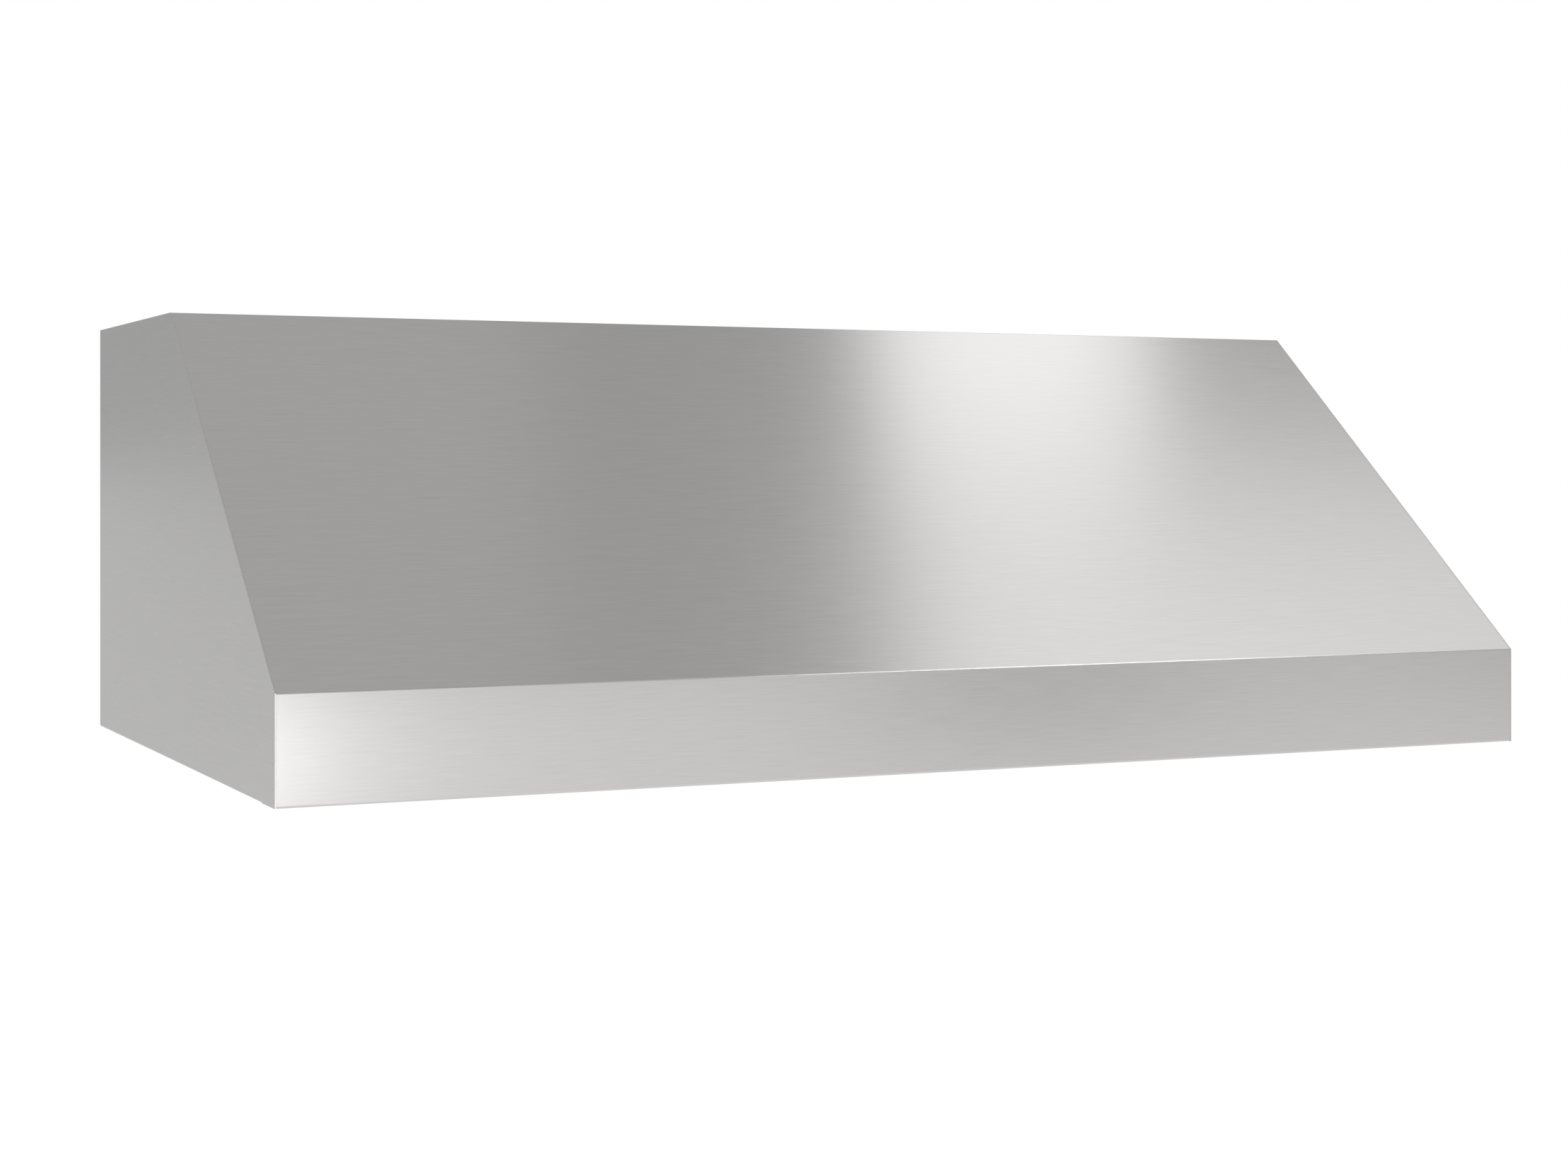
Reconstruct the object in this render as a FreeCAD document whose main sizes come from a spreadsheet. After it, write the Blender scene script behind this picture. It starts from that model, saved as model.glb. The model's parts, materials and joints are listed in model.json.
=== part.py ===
import FreeCAD, Part
import math
import os
import Sketcher
from FreeCAD import Rotation, Vector

# Under-cabinet range hood. Millimetres, +Z up, +Y to the wall, -Y to the cook, +X to the right.
# The origin is the centre of the flat top, which lies against the cabinet's underside and is
# also the axis of the round duct outlet.

doc = FreeCAD.newDocument("range_hood")
sizes = doc.addObject("Spreadsheet::Sheet", "Sizes")

driving_sizes = [
    # the shell
    ("overall_width", 1064),
    ("overall_depth", 631),
    ("overall_height", 355.6),
    ("top_depth", 294.8),
    ("lip_height", 78.5),
    ("sheet_gauge", 1),
    ("bend_radius", 1.8),
    ("top_flange", 18),
    ("top_tongue", 5),
    ("lip_return", 36),
    ("side_flange", 22),
    ("hem_step", 0.6),
    ("part_gap", 0.3),
    # fixing holes
    ("cabinet_screw_inset", 74.8),
    ("cabinet_screw_edge", 45.8),
    ("wall_screw_inset", 125.6),
    ("wall_screw_drop", 40),
    ("wall_screw_rise", 55.6),
    ("fixing_radius", 3.25),
    ("wire_radius", 11.1),
    ("wire_x", 170),
    ("wire_inset", 37.4),
    ("knockout_width", 254),
    ("knockout_height", 82.6),
    ("knockout_drop", 70),
    ("knockout_slot", 1.2),
    ("knockout_bridge", 8),
    # the liner round the underside
    ("liner_inset", 32),
    ("liner_height", 59),
    ("liner_foot", 24),
    ("panel_rise", 24.6),
    ("panel_depth", 90),
    ("stop_flange", 10),
    ("trough_depth", 62.9),
    ("trough_rise", 10.6),
    ("trough_wall", 45),
    ("bead_rise", 27.6),
    ("bead_radius", 2),
    # the baffle filters
    ("filter_count", 3),
    ("filter_thickness", 25),
    ("filter_rail", 22),
    ("filter_gauge", 1),
    ("filter_gap", 1.2),
    ("filter_front_gap", 2),
    ("filter_overhang", 14),
    ("slat_count", 7),
    ("slat_width", 30),
    ("slat_height", 9),
    ("slat_gauge", 0.8),
    ("slat_end_gap", 0.5),
    ("handle_span", 90),
    ("handle_drop", 16),
    ("handle_width", 14),
    ("handle_gauge", 2),
    ("handle_inset", 6),
    # the duct outlet and its damper
    ("duct_radius", 88.9),
    ("duct_clearance", 0.2),
    ("collar_gauge", 0.8),
    ("collar_length", 30),
    ("collar_flange", 9),
    ("damper_drop", 38),
    ("damper_step", 3),
    ("damper_seat", 5),
    ("flap_gauge", 0.8),
    ("flap_gap", 1.5),
    ("pin_radius", 1.5),
    ("running_gap", 0.07),
    ("knuckle_radius", 2.6),
    ("knuckle_zone", 150),
    ("throat_top", 44),
    ("throat_bottom", 72),
    # the blower
    ("wheel_radius", 62),
    ("wheel_width", 180),
    ("blade_count", 36),
    ("blade_depth", 14),
    ("blade_gauge", 0.8),
    ("hub_offset", 10),
    ("scroll_width", 200),
    ("scroll_growth", 10),
    ("cutoff_gap", 5),
    ("outlet_straight", 11),
    ("cheek_margin", 6),
    ("inlet_radius", 50),
    ("inlet_lip", 6),
    ("motor_radius", 36),
    ("motor_length", 75),
    ("shaft_radius", 4),
    ("hanger_width", 60),
    ("hanger_gap", 3),
    ("hanger_step", 3),
    ("hanger_tab", 12),
    ("hanger_foot", 28),
    ("hanger_gauge", 1.5),
    # controls and lamps
    ("knob_radius", 14),
    ("knob_height", 15),
    ("knob_gap", 1.5),
    ("knob_spacing", 90),
    ("stem_radius", 3),
    ("switch_size", 34),
    ("switch_height", 26),
    ("lamp_spacing", 500),
    ("lamp_radius", 31),
    ("bezel_width", 8),
    ("bezel_drop", 2.5),
    ("can_height", 38),
    ("box_length", 100),
    ("box_depth", 60),
    ("box_height", 45),
    ("driver_x", 210),
    ("driver_length", 110),
    ("driver_depth", 40),
    ("driver_height", 26),
    ("capacitor_radius", 15),
    ("capacitor_length", 56),
    ("capacitor_drop", 24),
    ("clamp_width", 12),
    ("screw_radius", 2),
    ("screw_clearance", 0.2),
    ("screw_head", 3.6),
    ("screw_head_height", 2.2),
]

for row, (alias, value) in enumerate(driving_sizes, start=1):
    sizes.set(f"A{row}", alias)
    sizes.set(f"B{row}", str(value))
    sizes.setAlias(f"B{row}", alias)
doc.recompute()

# places that several pieces share, as expressions of the sheet
gauge = "Sizes.sheet_gauge"
gap = "Sizes.part_gap"
half_width = "(Sizes.overall_width / 2)"
inner_half = f"({half_width} - {gauge})"
wall_y = "(Sizes.top_depth / 2)"
wall_inner_y = f"({wall_y} - {gauge})"
top_front_y = "(-Sizes.top_depth / 2)"
front_y = "(Sizes.top_depth / 2 - Sizes.overall_depth)"
bottom_z = "(-Sizes.overall_height)"
crease_z = "(Sizes.lip_height - Sizes.overall_height)"
hem_z = f"({bottom_z} + Sizes.hem_step)"
return_end_y = f"({front_y} + Sizes.lip_return)"
liner_half = f"({half_width} - Sizes.liner_inset)"
panel_half = f"({liner_half} - {gap})"
panel_front_y = f"({return_end_y} + {gauge})"
panel_z = f"({bottom_z} + Sizes.panel_rise)"
panel_rear_y = f"({front_y} + Sizes.lip_return + Sizes.panel_depth)"
lip_y = f"({wall_inner_y} - Sizes.trough_depth)"
hinge_y = f"({lip_y} + {gauge} / 2)"
hinge_z = f"({bottom_z} + Sizes.bead_rise)"
trough_z = f"({bottom_z} + Sizes.trough_rise)"
filter_bottom = f"({hinge_z} + Sizes.bead_radius + {gap})"
filter_top = f"({filter_bottom} + Sizes.filter_thickness)"
filter_front_y = f"({panel_rear_y} + Sizes.filter_front_gap)"
filter_rear_y = f"({hinge_y} + Sizes.filter_overhang)"
filter_width = f"((2 * {panel_half} - (Sizes.filter_count + 1) * Sizes.filter_gap) / Sizes.filter_count)"
wheel_reach = "(Sizes.wheel_radius + Sizes.cutoff_gap)"
wheel_y = f"(Sizes.scroll_growth / 2 - ({wheel_reach} + 3.5 * Sizes.scroll_growth) / 2)"
wheel_z = f"(-Sizes.throat_bottom - Sizes.outlet_straight - {wheel_reach})"
bore_radius = "(Sizes.duct_radius + Sizes.duct_clearance)"
damper_radius = "(Sizes.duct_radius - Sizes.damper_step)"
control_y = f"(({panel_front_y} + {panel_rear_y}) / 2)"
collar_outer = f"({bore_radius} + Sizes.collar_gauge)"
collar_rim = f"({collar_outer} + Sizes.collar_flange)"
cheek_face = f"(Sizes.scroll_width / 2 + {gauge})"
hanger_leg = f"(max({cheek_face}; {collar_rim} + {gap}) + Sizes.hanger_step)"
drill_radius = "(Sizes.screw_radius + Sizes.screw_clearance)"

nodes = []


def mm(expression):
    return float(sizes.evalExpression(expression))


def keep(piece, label):
    piece.Label = label
    nodes.append(piece)
    return piece


def sketch_on(body, role, offset):
    """A sketch on one of the body's own origin planes, moved along that plane's normal."""
    sketch = body.newObject("Sketcher::SketchObject", body.Name + "_sketch")
    plane = [item for item in body.Origin.OriginFeatures if item.Role == role][0]
    sketch.AttachmentSupport = [(plane, "")]
    sketch.MapMode = "FlatFace"
    sketch.setExpression("AttachmentOffset.Base.z", offset)
    return sketch


def fix_point(sketch, geometry, position, x, y):
    for kind, expression in (("DistanceX", x), ("DistanceY", y)):
        index = sketch.addConstraint(Sketcher.Constraint(kind, -1, 1, geometry, position, mm(expression)))
        sketch.setExpression(f"Constraints[{index}]", expression)


def polygon(sketch, points):
    """A closed outline whose corners stand at the given expressions."""
    first = sketch.GeometryCount
    corners = [Vector(mm(x), mm(y), 0) for x, y in points]
    count = len(corners)
    for i in range(count):
        sketch.addGeometry(Part.LineSegment(corners[i], corners[(i + 1) % count]))
    for i in range(count):
        joined = Sketcher.Constraint("Coincident", first + i, 2, first + (i + 1) % count, 1)
        sketch.addConstraint(joined)
    for i, (x, y) in enumerate(points):
        fix_point(sketch, first + i, 1, x, y)


def rectangle(sketch, x0, y0, x1, y1):
    polygon(sketch, [(x0, y0), (x1, y0), (x1, y1), (x0, y1)])


def circle(sketch, x, y, radius):
    made = Part.Circle(Vector(mm(x), mm(y), 0), Vector(0, 0, 1), mm(radius))
    index = sketch.addGeometry(made)
    fix_point(sketch, index, 3, x, y)
    constraint = sketch.addConstraint(Sketcher.Constraint("Radius", index, mm(radius)))
    sketch.setExpression(f"Constraints[{constraint}]", radius)


def pad(body, sketch, length):
    feature = body.newObject("PartDesign::Pad", body.Name + "_pad")
    feature.Profile = sketch
    feature.setExpression("Length", length)
    sketch.Visibility = False
    return feature


def pocket(body, sketch, length):
    """Cuts along the sketch's normal, and stops the build if nothing was cut."""
    doc.recompute()
    before = body.Shape.Volume
    feature = body.newObject("PartDesign::Pocket", body.Name + "_pocket")
    feature.Profile = sketch
    feature.Reversed = True
    feature.setExpression("Length", length)
    doc.recompute()
    if body.Shape.Volume > before - 0.01:
        raise RuntimeError("nothing was cut from " + body.Name)
    return feature


def place(piece, x, y, z, rotation=None):
    if rotation is not None:
        piece.Placement.Rotation = rotation
    piece.setExpression("Placement.Base.x", x)
    piece.setExpression("Placement.Base.y", y)
    piece.setExpression("Placement.Base.z", z)


along_x = Rotation(Vector(0, 1, 0), 90)
along_minus_y = Rotation(Vector(1, 0, 0), 90)


def box(name, x0, y0, z0, x1, y1, z1):
    piece = doc.addObject("Part::Box", name)
    place(piece, x0, y0, z0)
    piece.setExpression("Length", f"({x1}) - ({x0})")
    piece.setExpression("Width", f"({y1}) - ({y0})")
    piece.setExpression("Height", f"({z1}) - ({z0})")
    return piece


def rod(name, x, y, z, radius, length, rotation=None):
    piece = doc.addObject("Part::Cylinder", name)
    place(piece, x, y, z, rotation)
    piece.setExpression("Radius", radius)
    piece.setExpression("Height", length)
    return piece


def joined(name, pieces):
    fused = doc.addObject("Part::MultiFuse", name)
    fused.Shapes = pieces
    return fused


def cut(name, base, tool):
    result = doc.addObject("Part::Cut", name)
    result.Base = base
    result.Tool = tool
    return result


def group(name, pieces):
    compound = doc.addObject("Part::Compound", name)
    compound.Links = pieces
    return compound


def turned(label, profile, x, y, z, rotation=None):
    """A piece of revolution: profile corners are (radius, height) about its own axis."""
    body = doc.addObject("PartDesign::Body", label)
    sketch = sketch_on(body, "XZ_Plane", "0")
    polygon(sketch, profile)
    revolution = body.newObject("PartDesign::Revolution", label + "_turn")
    revolution.Profile = sketch
    revolution.ReferenceAxis = (sketch, ["V_Axis"])
    revolution.Angle = 360
    place(body, x, y, z, rotation)
    return keep(body, label)


def bent_sheet(name, points, x_from, x_to):
    """Sheet folded along X: the path is the visible face, the metal is on its left."""
    path = doc.addObject("Sketcher::SketchObject", name + "_path")
    across = Rotation(Vector(0, 1, 0), Vector(0, 0, 1), Vector(1, 0, 0), "ZXY")
    path.Placement = FreeCAD.Placement(Vector(0, 0, 0), across)
    path.setExpression("Placement.Base.x", x_from)
    ends = [Vector(mm(y), mm(z), 0) for y, z in points]
    for start, end in zip(ends, ends[1:]):
        path.addGeometry(Part.LineSegment(start, end))
    last = len(ends) - 2
    for i in range(last):
        path.addConstraint(Sketcher.Constraint("Coincident", i, 2, i + 1, 1))
    for i in range(last):
        before = (ends[i] + ends[i + 1]) * 0.5
        after = (ends[i + 1] + ends[i + 2]) * 0.5
        path.fillet(i, i + 1, before, after, mm("Sizes.bend_radius"), True, True)
    fix_point(path, 0, 1, *points[0])
    fix_point(path, last, 2, *points[-1])
    for i in range(last):
        arc = last + 1 + 2 * i
        fix_point(path, arc + 1, 1, *points[i + 1])
        radius = path.addConstraint(Sketcher.Constraint("Radius", arc, mm("Sizes.bend_radius")))
        path.setExpression(f"Constraints[{radius}]", "Sizes.bend_radius")
    section = doc.addObject("Part::Offset2D", name + "_section")
    section.Source = path
    section.Mode = "Skin"
    section.setExpression("Value", f"-{gauge}")
    section.Fill = True
    sheet = doc.addObject("Part::Extrusion", name)
    sheet.Base = section
    sheet.DirMode = "Normal"
    sheet.Solid = True
    sheet.setExpression("LengthFwd", f"({x_to}) - ({x_from})")
    return sheet


def screws(label, places, rotation, length):
    """One node of identical pan-head screws, each a head and a shank along its own axis."""
    solids = []
    for i, (x, y, z) in enumerate(places):
        head = rod(f"{label}_head_{i}", x, y, z, "Sizes.screw_head", "Sizes.screw_head_height", rotation)
        shank = rod(f"{label}_shank_{i}", x, y, z, "Sizes.screw_radius", length, rotation)
        solids.append(joined(f"{label}_{i}", [head, shank]))
    return keep(group(label, solids), label)


# ---- shell: two side panels, the folded front, the top and the back ----

for side, name in ((-1, "side_panel_left"), (1, "side_panel_right")):
    panel = doc.addObject("PartDesign::Body", name)
    start = f"(-{half_width})" if side < 0 else inner_half
    outline = sketch_on(panel, "YZ_Plane", start)
    polygon(outline, [
        (wall_y, "0"),
        (top_front_y, "0"),
        (front_y, crease_z),
        (front_y, bottom_z),
        (return_end_y, bottom_z),
        (return_end_y, hem_z),
        (wall_y, hem_z),
    ])
    pad(panel, outline, gauge)
    flange = sketch_on(panel, "XY_Plane", hem_z)
    near = f"({side} * {inner_half})"
    far = f"({side} * ({half_width} - Sizes.side_flange))"
    low_x, high_x = (near, far) if side < 0 else (far, near)
    rectangle(flange, low_x, f"({return_end_y} + {gap})", high_x, wall_inner_y)
    pad(panel, flange, gauge)
    keep(panel, name)

canopy = bent_sheet("canopy_front", [
    (f"({top_front_y} + Sizes.top_flange)", "0"),
    (top_front_y, "0"),
    (front_y, crease_z),
    (front_y, bottom_z),
    (return_end_y, bottom_z),
], f"(-{inner_half})", inner_half)
keep(canopy, "canopy_front")

cabinet_holes = [
    (f"({i} * ({half_width} - Sizes.cabinet_screw_inset))", f"({j} * ({wall_y} - Sizes.cabinet_screw_edge))")
    for i in (-1, 1)
    for j in (-1, 1)
]
collar_screw_radius = f"({collar_outer} + Sizes.collar_flange / 2)"
wire_y = f"({wall_y} - Sizes.wire_inset)"
collar_places = []
for angle in range(30, 360, 60):
    turn = math.radians(angle)
    x = f"({collar_screw_radius} * {math.cos(turn):.5f})"
    y = f"({collar_screw_radius} * {math.sin(turn):.5f})"
    collar_places.append((x, y))
hanger_places = [
    (f"({i} * ({hanger_leg} + Sizes.hanger_foot * 0.6))", f"({j} * Sizes.hanger_width / 3)")
    for i in (-1, 1)
    for j in (-1, 1)
]
top = doc.addObject("PartDesign::Body", "top_panel")
flange_edge_y = f"({top_front_y} + Sizes.top_flange)"
sheet = sketch_on(top, "XY_Plane", f"(-{gauge})")
rectangle(sheet, f"(-{inner_half})", f"({flange_edge_y} + {gap})", inner_half, wall_inner_y)
circle(sheet, "0", "0", bore_radius)
circle(sheet, "Sizes.wire_x", wire_y, "Sizes.wire_radius")
for x, y in cabinet_holes:
    circle(sheet, x, y, "Sizes.fixing_radius")
for x, y in collar_places + hanger_places:
    circle(sheet, x, y, drill_radius)
pad(top, sheet, gauge)
tongue = sketch_on(top, "XY_Plane", f"(-2 * {gauge})")
tongue_front = f"({flange_edge_y} - Sizes.top_tongue)"
tongue_rear = f"({flange_edge_y} + Sizes.top_tongue)"
rectangle(tongue, f"(-{inner_half})", tongue_front, inner_half, tongue_rear)
pad(top, tongue, gauge)
keep(top, "top_panel")

back = doc.addObject("PartDesign::Body", "back_panel")
sheet = sketch_on(back, "XZ_Plane", f"(-{wall_y})")
rectangle(sheet, f"(-{inner_half})", hem_z, inner_half, "0")
for i in (-1, 1):
    x = f"({i} * ({half_width} - Sizes.wall_screw_inset))"
    for z in ("(-Sizes.wall_screw_drop)", f"({bottom_z} + Sizes.wall_screw_rise)"):
        circle(sheet, x, z, "Sizes.fixing_radius")
channel_screw_z = f"({trough_z} + Sizes.trough_wall / 2)"
channel_screw_x = [f"({k} * {liner_half} / 4)" for k in (-3, -1, 1, 3)]
for x in channel_screw_x:
    circle(sheet, x, channel_screw_z, drill_radius)
pad(back, sheet, gauge)
foot = sketch_on(back, "XY_Plane", hem_z)
foot_half = f"({half_width} - Sizes.side_flange - 2 * {gap})"
rectangle(foot, f"(-{foot_half})", f"({wall_inner_y} - 20)", foot_half, wall_inner_y)
pad(back, foot, gauge)
slots = sketch_on(back, "XZ_Plane", f"(-{wall_y})")
slot_half = "(Sizes.knockout_slot / 2)"
knock_half = "(Sizes.knockout_width / 2)"
knock_top = "(-Sizes.knockout_drop)"
knock_low = "(-Sizes.knockout_drop - Sizes.knockout_height)"
for z in (knock_top, knock_low):
    for i in (-1, 1):
        near = f"({i} * Sizes.knockout_bridge)"
        far = f"({i} * ({knock_half} - Sizes.knockout_bridge))"
        ends = sorted([near, far], key=mm)
        rectangle(slots, ends[0], f"({z} - {slot_half})", ends[1], f"({z} + {slot_half})")
for i in (-1, 1):
    x = f"({i} * {knock_half})"
    low = f"({knock_low} + Sizes.knockout_bridge)"
    high = f"({knock_top} - Sizes.knockout_bridge)"
    rectangle(slots, f"({x} - {slot_half})", low, f"({x} + {slot_half})", high)
pocket(back, slots, gauge)
keep(back, "back_panel")

# ---- liner: front light panel, side liners, grease trough and the filter springs ----

lamp_places = [f"(-Sizes.lamp_spacing / 2)", "(Sizes.lamp_spacing / 2)"]
knob_places = [f"(-Sizes.knob_spacing / 2)", "(Sizes.knob_spacing / 2)"]
stop_z = f"({filter_top} + {gap})"
folded = bent_sheet("light_panel_sheet", [
    (f"({front_y} + 6)", f"({bottom_z} + {gauge})"),
    (panel_front_y, f"({bottom_z} + {gauge})"),
    (panel_front_y, panel_z),
    (panel_rear_y, panel_z),
    (panel_rear_y, stop_z),
    (f"({panel_rear_y} + Sizes.stop_flange)", stop_z),
], f"(-{panel_half})", panel_half)
openings = []
hole_z = f"({panel_z} - 5)"
for i, x in enumerate(lamp_places):
    openings.append(rod(f"lamp_hole_{i}", x, control_y, hole_z, "(Sizes.lamp_radius + 1)", "20"))
for i, x in enumerate(knob_places):
    openings.append(rod(f"stem_hole_{i}", x, control_y, hole_z, "(Sizes.stem_radius + 0.5)", "20"))
light_panel = cut("light_panel", folded, group("light_panel_openings", openings))
keep(light_panel, "light_panel")

for side, name in ((-1, "side_liner_left"), (1, "side_liner_right")):
    liner = doc.addObject("PartDesign::Body", name)
    low = f"({hem_z} + {gauge})"
    start = f"({liner_half})" if side > 0 else f"(-{liner_half} - {gauge})"
    wall = sketch_on(liner, "YZ_Plane", start)
    rectangle(wall, f"({front_y} + 8)", low, f"({wall_inner_y} - {gap})", f"({low} + Sizes.liner_height)")
    pad(liner, wall, gauge)
    for height in (low, f"({low} + Sizes.liner_height - {gauge})"):
        foot = sketch_on(liner, "XY_Plane", height)
        near = f"({side} * ({liner_half} + {gauge}))"
        far = f"({side} * ({liner_half} + Sizes.liner_foot))"
        ends = sorted([near, far], key=mm)
        rectangle(foot, ends[0], f"({return_end_y} + {gap})", ends[1], f"({wall_inner_y} - {gap})")
        pad(liner, foot, gauge)
    keep(liner, name)

folded = bent_sheet("trough_sheet", [
    (lip_y, hinge_z),
    (lip_y, trough_z),
    (wall_inner_y, trough_z),
    (wall_inner_y, f"({trough_z} + Sizes.trough_wall)"),
], f"(-{panel_half})", panel_half)
bead_start = f"(-{panel_half})"
bead_length = f"(2 * {panel_half})"
bead = rod("trough_bead", bead_start, hinge_y, hinge_z, "Sizes.bead_radius", bead_length, along_x)
drills = [
    rod(f"trough_drill_{i}", x, f"({wall_inner_y} + 3)", channel_screw_z, drill_radius, "8", along_minus_y)
    for i, x in enumerate(channel_screw_x)
]
trough = cut("rear_channel", joined("trough_body", [folded, bead]), group("trough_drills", drills))
keep(trough, "rear_channel")

filter_pitch = f"({filter_width} + Sizes.filter_gap)"
filter_centres = []
for n in range(int(mm("Sizes.filter_count"))):
    filter_centres.append(f"(({n} - (Sizes.filter_count - 1) / 2) * {filter_pitch})")
springs = []
leaf_rear_y = f"({panel_rear_y} + 0.4)"
for n, centre in enumerate(filter_centres):
    for i in (-1, 1):
        x = f"({centre} + {i} * {filter_width} / 3)"
        x0 = f"({x} - 12)"
        x1 = f"({x} + 12)"
        z = f"(({filter_bottom} + {filter_top}) / 2)"
        leaf = box(f"spring_leaf_{n}_{i}", x0, panel_rear_y, f"({z} - 8)", x1, leaf_rear_y, f"({z} + 8)")
        crest = rod(f"spring_crest_{n}_{i}", x0, leaf_rear_y, z, "0.4", "24", along_x)
        springs.append(joined(f"spring_{n}_{i}", [leaf, crest]))
keep(group("filter_springs", springs), "filter_springs")

# ---- three baffle filters, each a frame, its slats and a handle, turning on the trough bead ----

def inset(x0, x1, y0, y1, by):
    return f"({x0} + {by})", f"({y0} + {by})", f"({x1} - {by})", f"({y1} - {by})"


for n, centre in enumerate(filter_centres, start=1):
    left = f"({centre} - {filter_width} / 2)"
    right = f"({centre} + {filter_width} / 2)"
    frame = doc.addObject("PartDesign::Body", f"filter_frame_{n}")
    ring = sketch_on(frame, "XY_Plane", filter_bottom)
    rectangle(ring, left, filter_front_y, right, filter_rear_y)
    for_rail = inset(left, right, filter_front_y, filter_rear_y, "Sizes.filter_rail")
    rectangle(ring, *for_rail)
    pad(frame, ring, "Sizes.filter_thickness")
    skin = "Sizes.filter_gauge"
    channel = sketch_on(frame, "XY_Plane", f"({filter_bottom} + {skin})")
    rectangle(channel, *inset(left, right, filter_front_y, filter_rear_y, skin))
    pocket(frame, channel, f"(Sizes.filter_thickness - 2 * {skin})")
    keep(frame, f"filter_frame_{n}")

    slats = doc.addObject("PartDesign::Body", f"filter_baffles_{n}")
    slats.AllowCompound = True
    slat_start = f"({filter_front_y} + {skin} + Sizes.slat_end_gap)"
    slat_length = f"({filter_rear_y} - {filter_front_y} - 2 * ({skin} + Sizes.slat_end_gap))"
    slat_room = f"({filter_width} - 2 * {skin} - 2 * Sizes.slat_end_gap)"
    pitch = f"(({slat_room} - Sizes.slat_width) / (Sizes.slat_count - 1))"
    first_x = f"({left} + {skin} + Sizes.slat_end_gap)"
    w = "Sizes.slat_width"
    t = "Sizes.slat_gauge"
    tall = "Sizes.slat_height"
    low_z = f"({filter_bottom} + {skin})"
    high_z = f"({filter_top} - {skin})"
    upper_x = f"({first_x} + {pitch} / 2)"
    upper_count = "(Sizes.slat_count - 1)"
    rows = [
        (first_x, low_z, f"({low_z} + {t})", f"({low_z} + {tall})", "Sizes.slat_count"),
        (upper_x, high_z, f"({high_z} - {t})", f"({high_z} - {tall})", upper_count),
    ]
    for x, web, inner, tip, count in rows:
        profile = sketch_on(slats, "XZ_Plane", f"(-({slat_start} + {slat_length}))")
        polygon(profile, [
            (x, tip),
            (x, web),
            (f"({x} + {w})", web),
            (f"({x} + {w})", tip),
            (f"({x} + {w} - {t})", tip),
            (f"({x} + {w} - {t})", inner),
            (f"({x} + {t})", inner),
            (f"({x} + {t})", tip),
        ])
        slat = pad(slats, profile, slat_length)
        doc.recompute()
        row = slats.newObject("PartDesign::LinearPattern", slats.Name + "_row")
        row.Originals = [slat]
        row.Direction = (profile, ["H_Axis"])
        row.setExpression("Length", f"{pitch} * ({count} - 1)")
        row.setExpression("Occurrences", count)
        slats.Tip = row
        doc.recompute()
    keep(slats, f"filter_baffles_{n}")

    handle = doc.addObject("PartDesign::Body", f"filter_handle_{n}")
    strap_rear_y = f"({filter_front_y} + Sizes.handle_inset + Sizes.handle_width)"
    strap = sketch_on(handle, "XZ_Plane", f"(-{strap_rear_y})")
    h = "Sizes.handle_gauge"
    half = "(Sizes.handle_span / 2)"
    lean = "(Sizes.handle_drop / 2)"
    middle = centre
    lowest = f"({filter_bottom} - Sizes.handle_drop)"
    polygon(strap, [
        (f"({middle} - {half})", filter_bottom),
        (f"({middle} - {half} + {lean})", lowest),
        (f"({middle} + {half} - {lean})", lowest),
        (f"({middle} + {half})", filter_bottom),
        (f"({middle} + {half} - 1.3 * {h})", filter_bottom),
        (f"({middle} + {half} - {lean} - 0.7 * {h})", f"({lowest} + {h})"),
        (f"({middle} - {half} + {lean} + 0.7 * {h})", f"({lowest} + {h})"),
        (f"({middle} - {half} + 1.3 * {h})", filter_bottom),
    ])
    pad(handle, strap, "Sizes.handle_width")
    keep(handle, f"filter_handle_{n}")

# ---- duct collar, damper ring and two flaps on one pin ----

collar = turned("duct_collar_turn", [
    (bore_radius, "-Sizes.collar_length"),
    (collar_outer, "-Sizes.collar_length"),
    (collar_outer, f"(-{gauge} - Sizes.collar_gauge)"),
    (collar_rim, f"(-{gauge} - Sizes.collar_gauge)"),
    (collar_rim, f"(-{gauge})"),
    (bore_radius, f"(-{gauge})"),
], "0", "0", "0")
nodes.remove(collar)
drills = [
    rod(f"collar_drill_{i}", x, y, "-10", drill_radius, "20")
    for i, (x, y) in enumerate(collar_places)
]
keep(cut("duct_collar", collar, group("collar_drills", drills)), "duct_collar")

thin = "Sizes.collar_gauge"
seat_z = "(-Sizes.damper_drop - 2)"
ring = turned("damper_ring_turn", [
    (f"({damper_radius} - Sizes.damper_seat)", f"({seat_z} - {thin})"),
    (damper_radius, f"({seat_z} - {thin})"),
    (damper_radius, "-Sizes.throat_top"),
    (f"({damper_radius} + {thin})", "-Sizes.throat_top"),
    (f"({damper_radius} + {thin})", f"(-Sizes.collar_length - {thin})"),
    (collar_outer, f"(-Sizes.collar_length - {thin})"),
    (collar_outer, "-Sizes.collar_length"),
    (damper_radius, "-Sizes.collar_length"),
    (damper_radius, seat_z),
    (f"({damper_radius} - Sizes.damper_seat)", seat_z),
], "0", "0", "0")
nodes.remove(ring)
pin_length = f"(2 * ({damper_radius} + {thin}))"


def along_pin(name, start, radius, length):
    return rod(name, start, "0", "-Sizes.damper_drop", radius, length, along_x)


pin_hole = along_pin("damper_pin_hole", f"(-{pin_length} / 2 - 1)", "Sizes.pin_radius", f"({pin_length} + 2)")
keep(cut("damper_ring", ring, pin_hole), "damper_ring")
keep(along_pin("damper_pin", f"(-{pin_length} / 2)", "Sizes.pin_radius", pin_length), "damper_pin")

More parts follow.
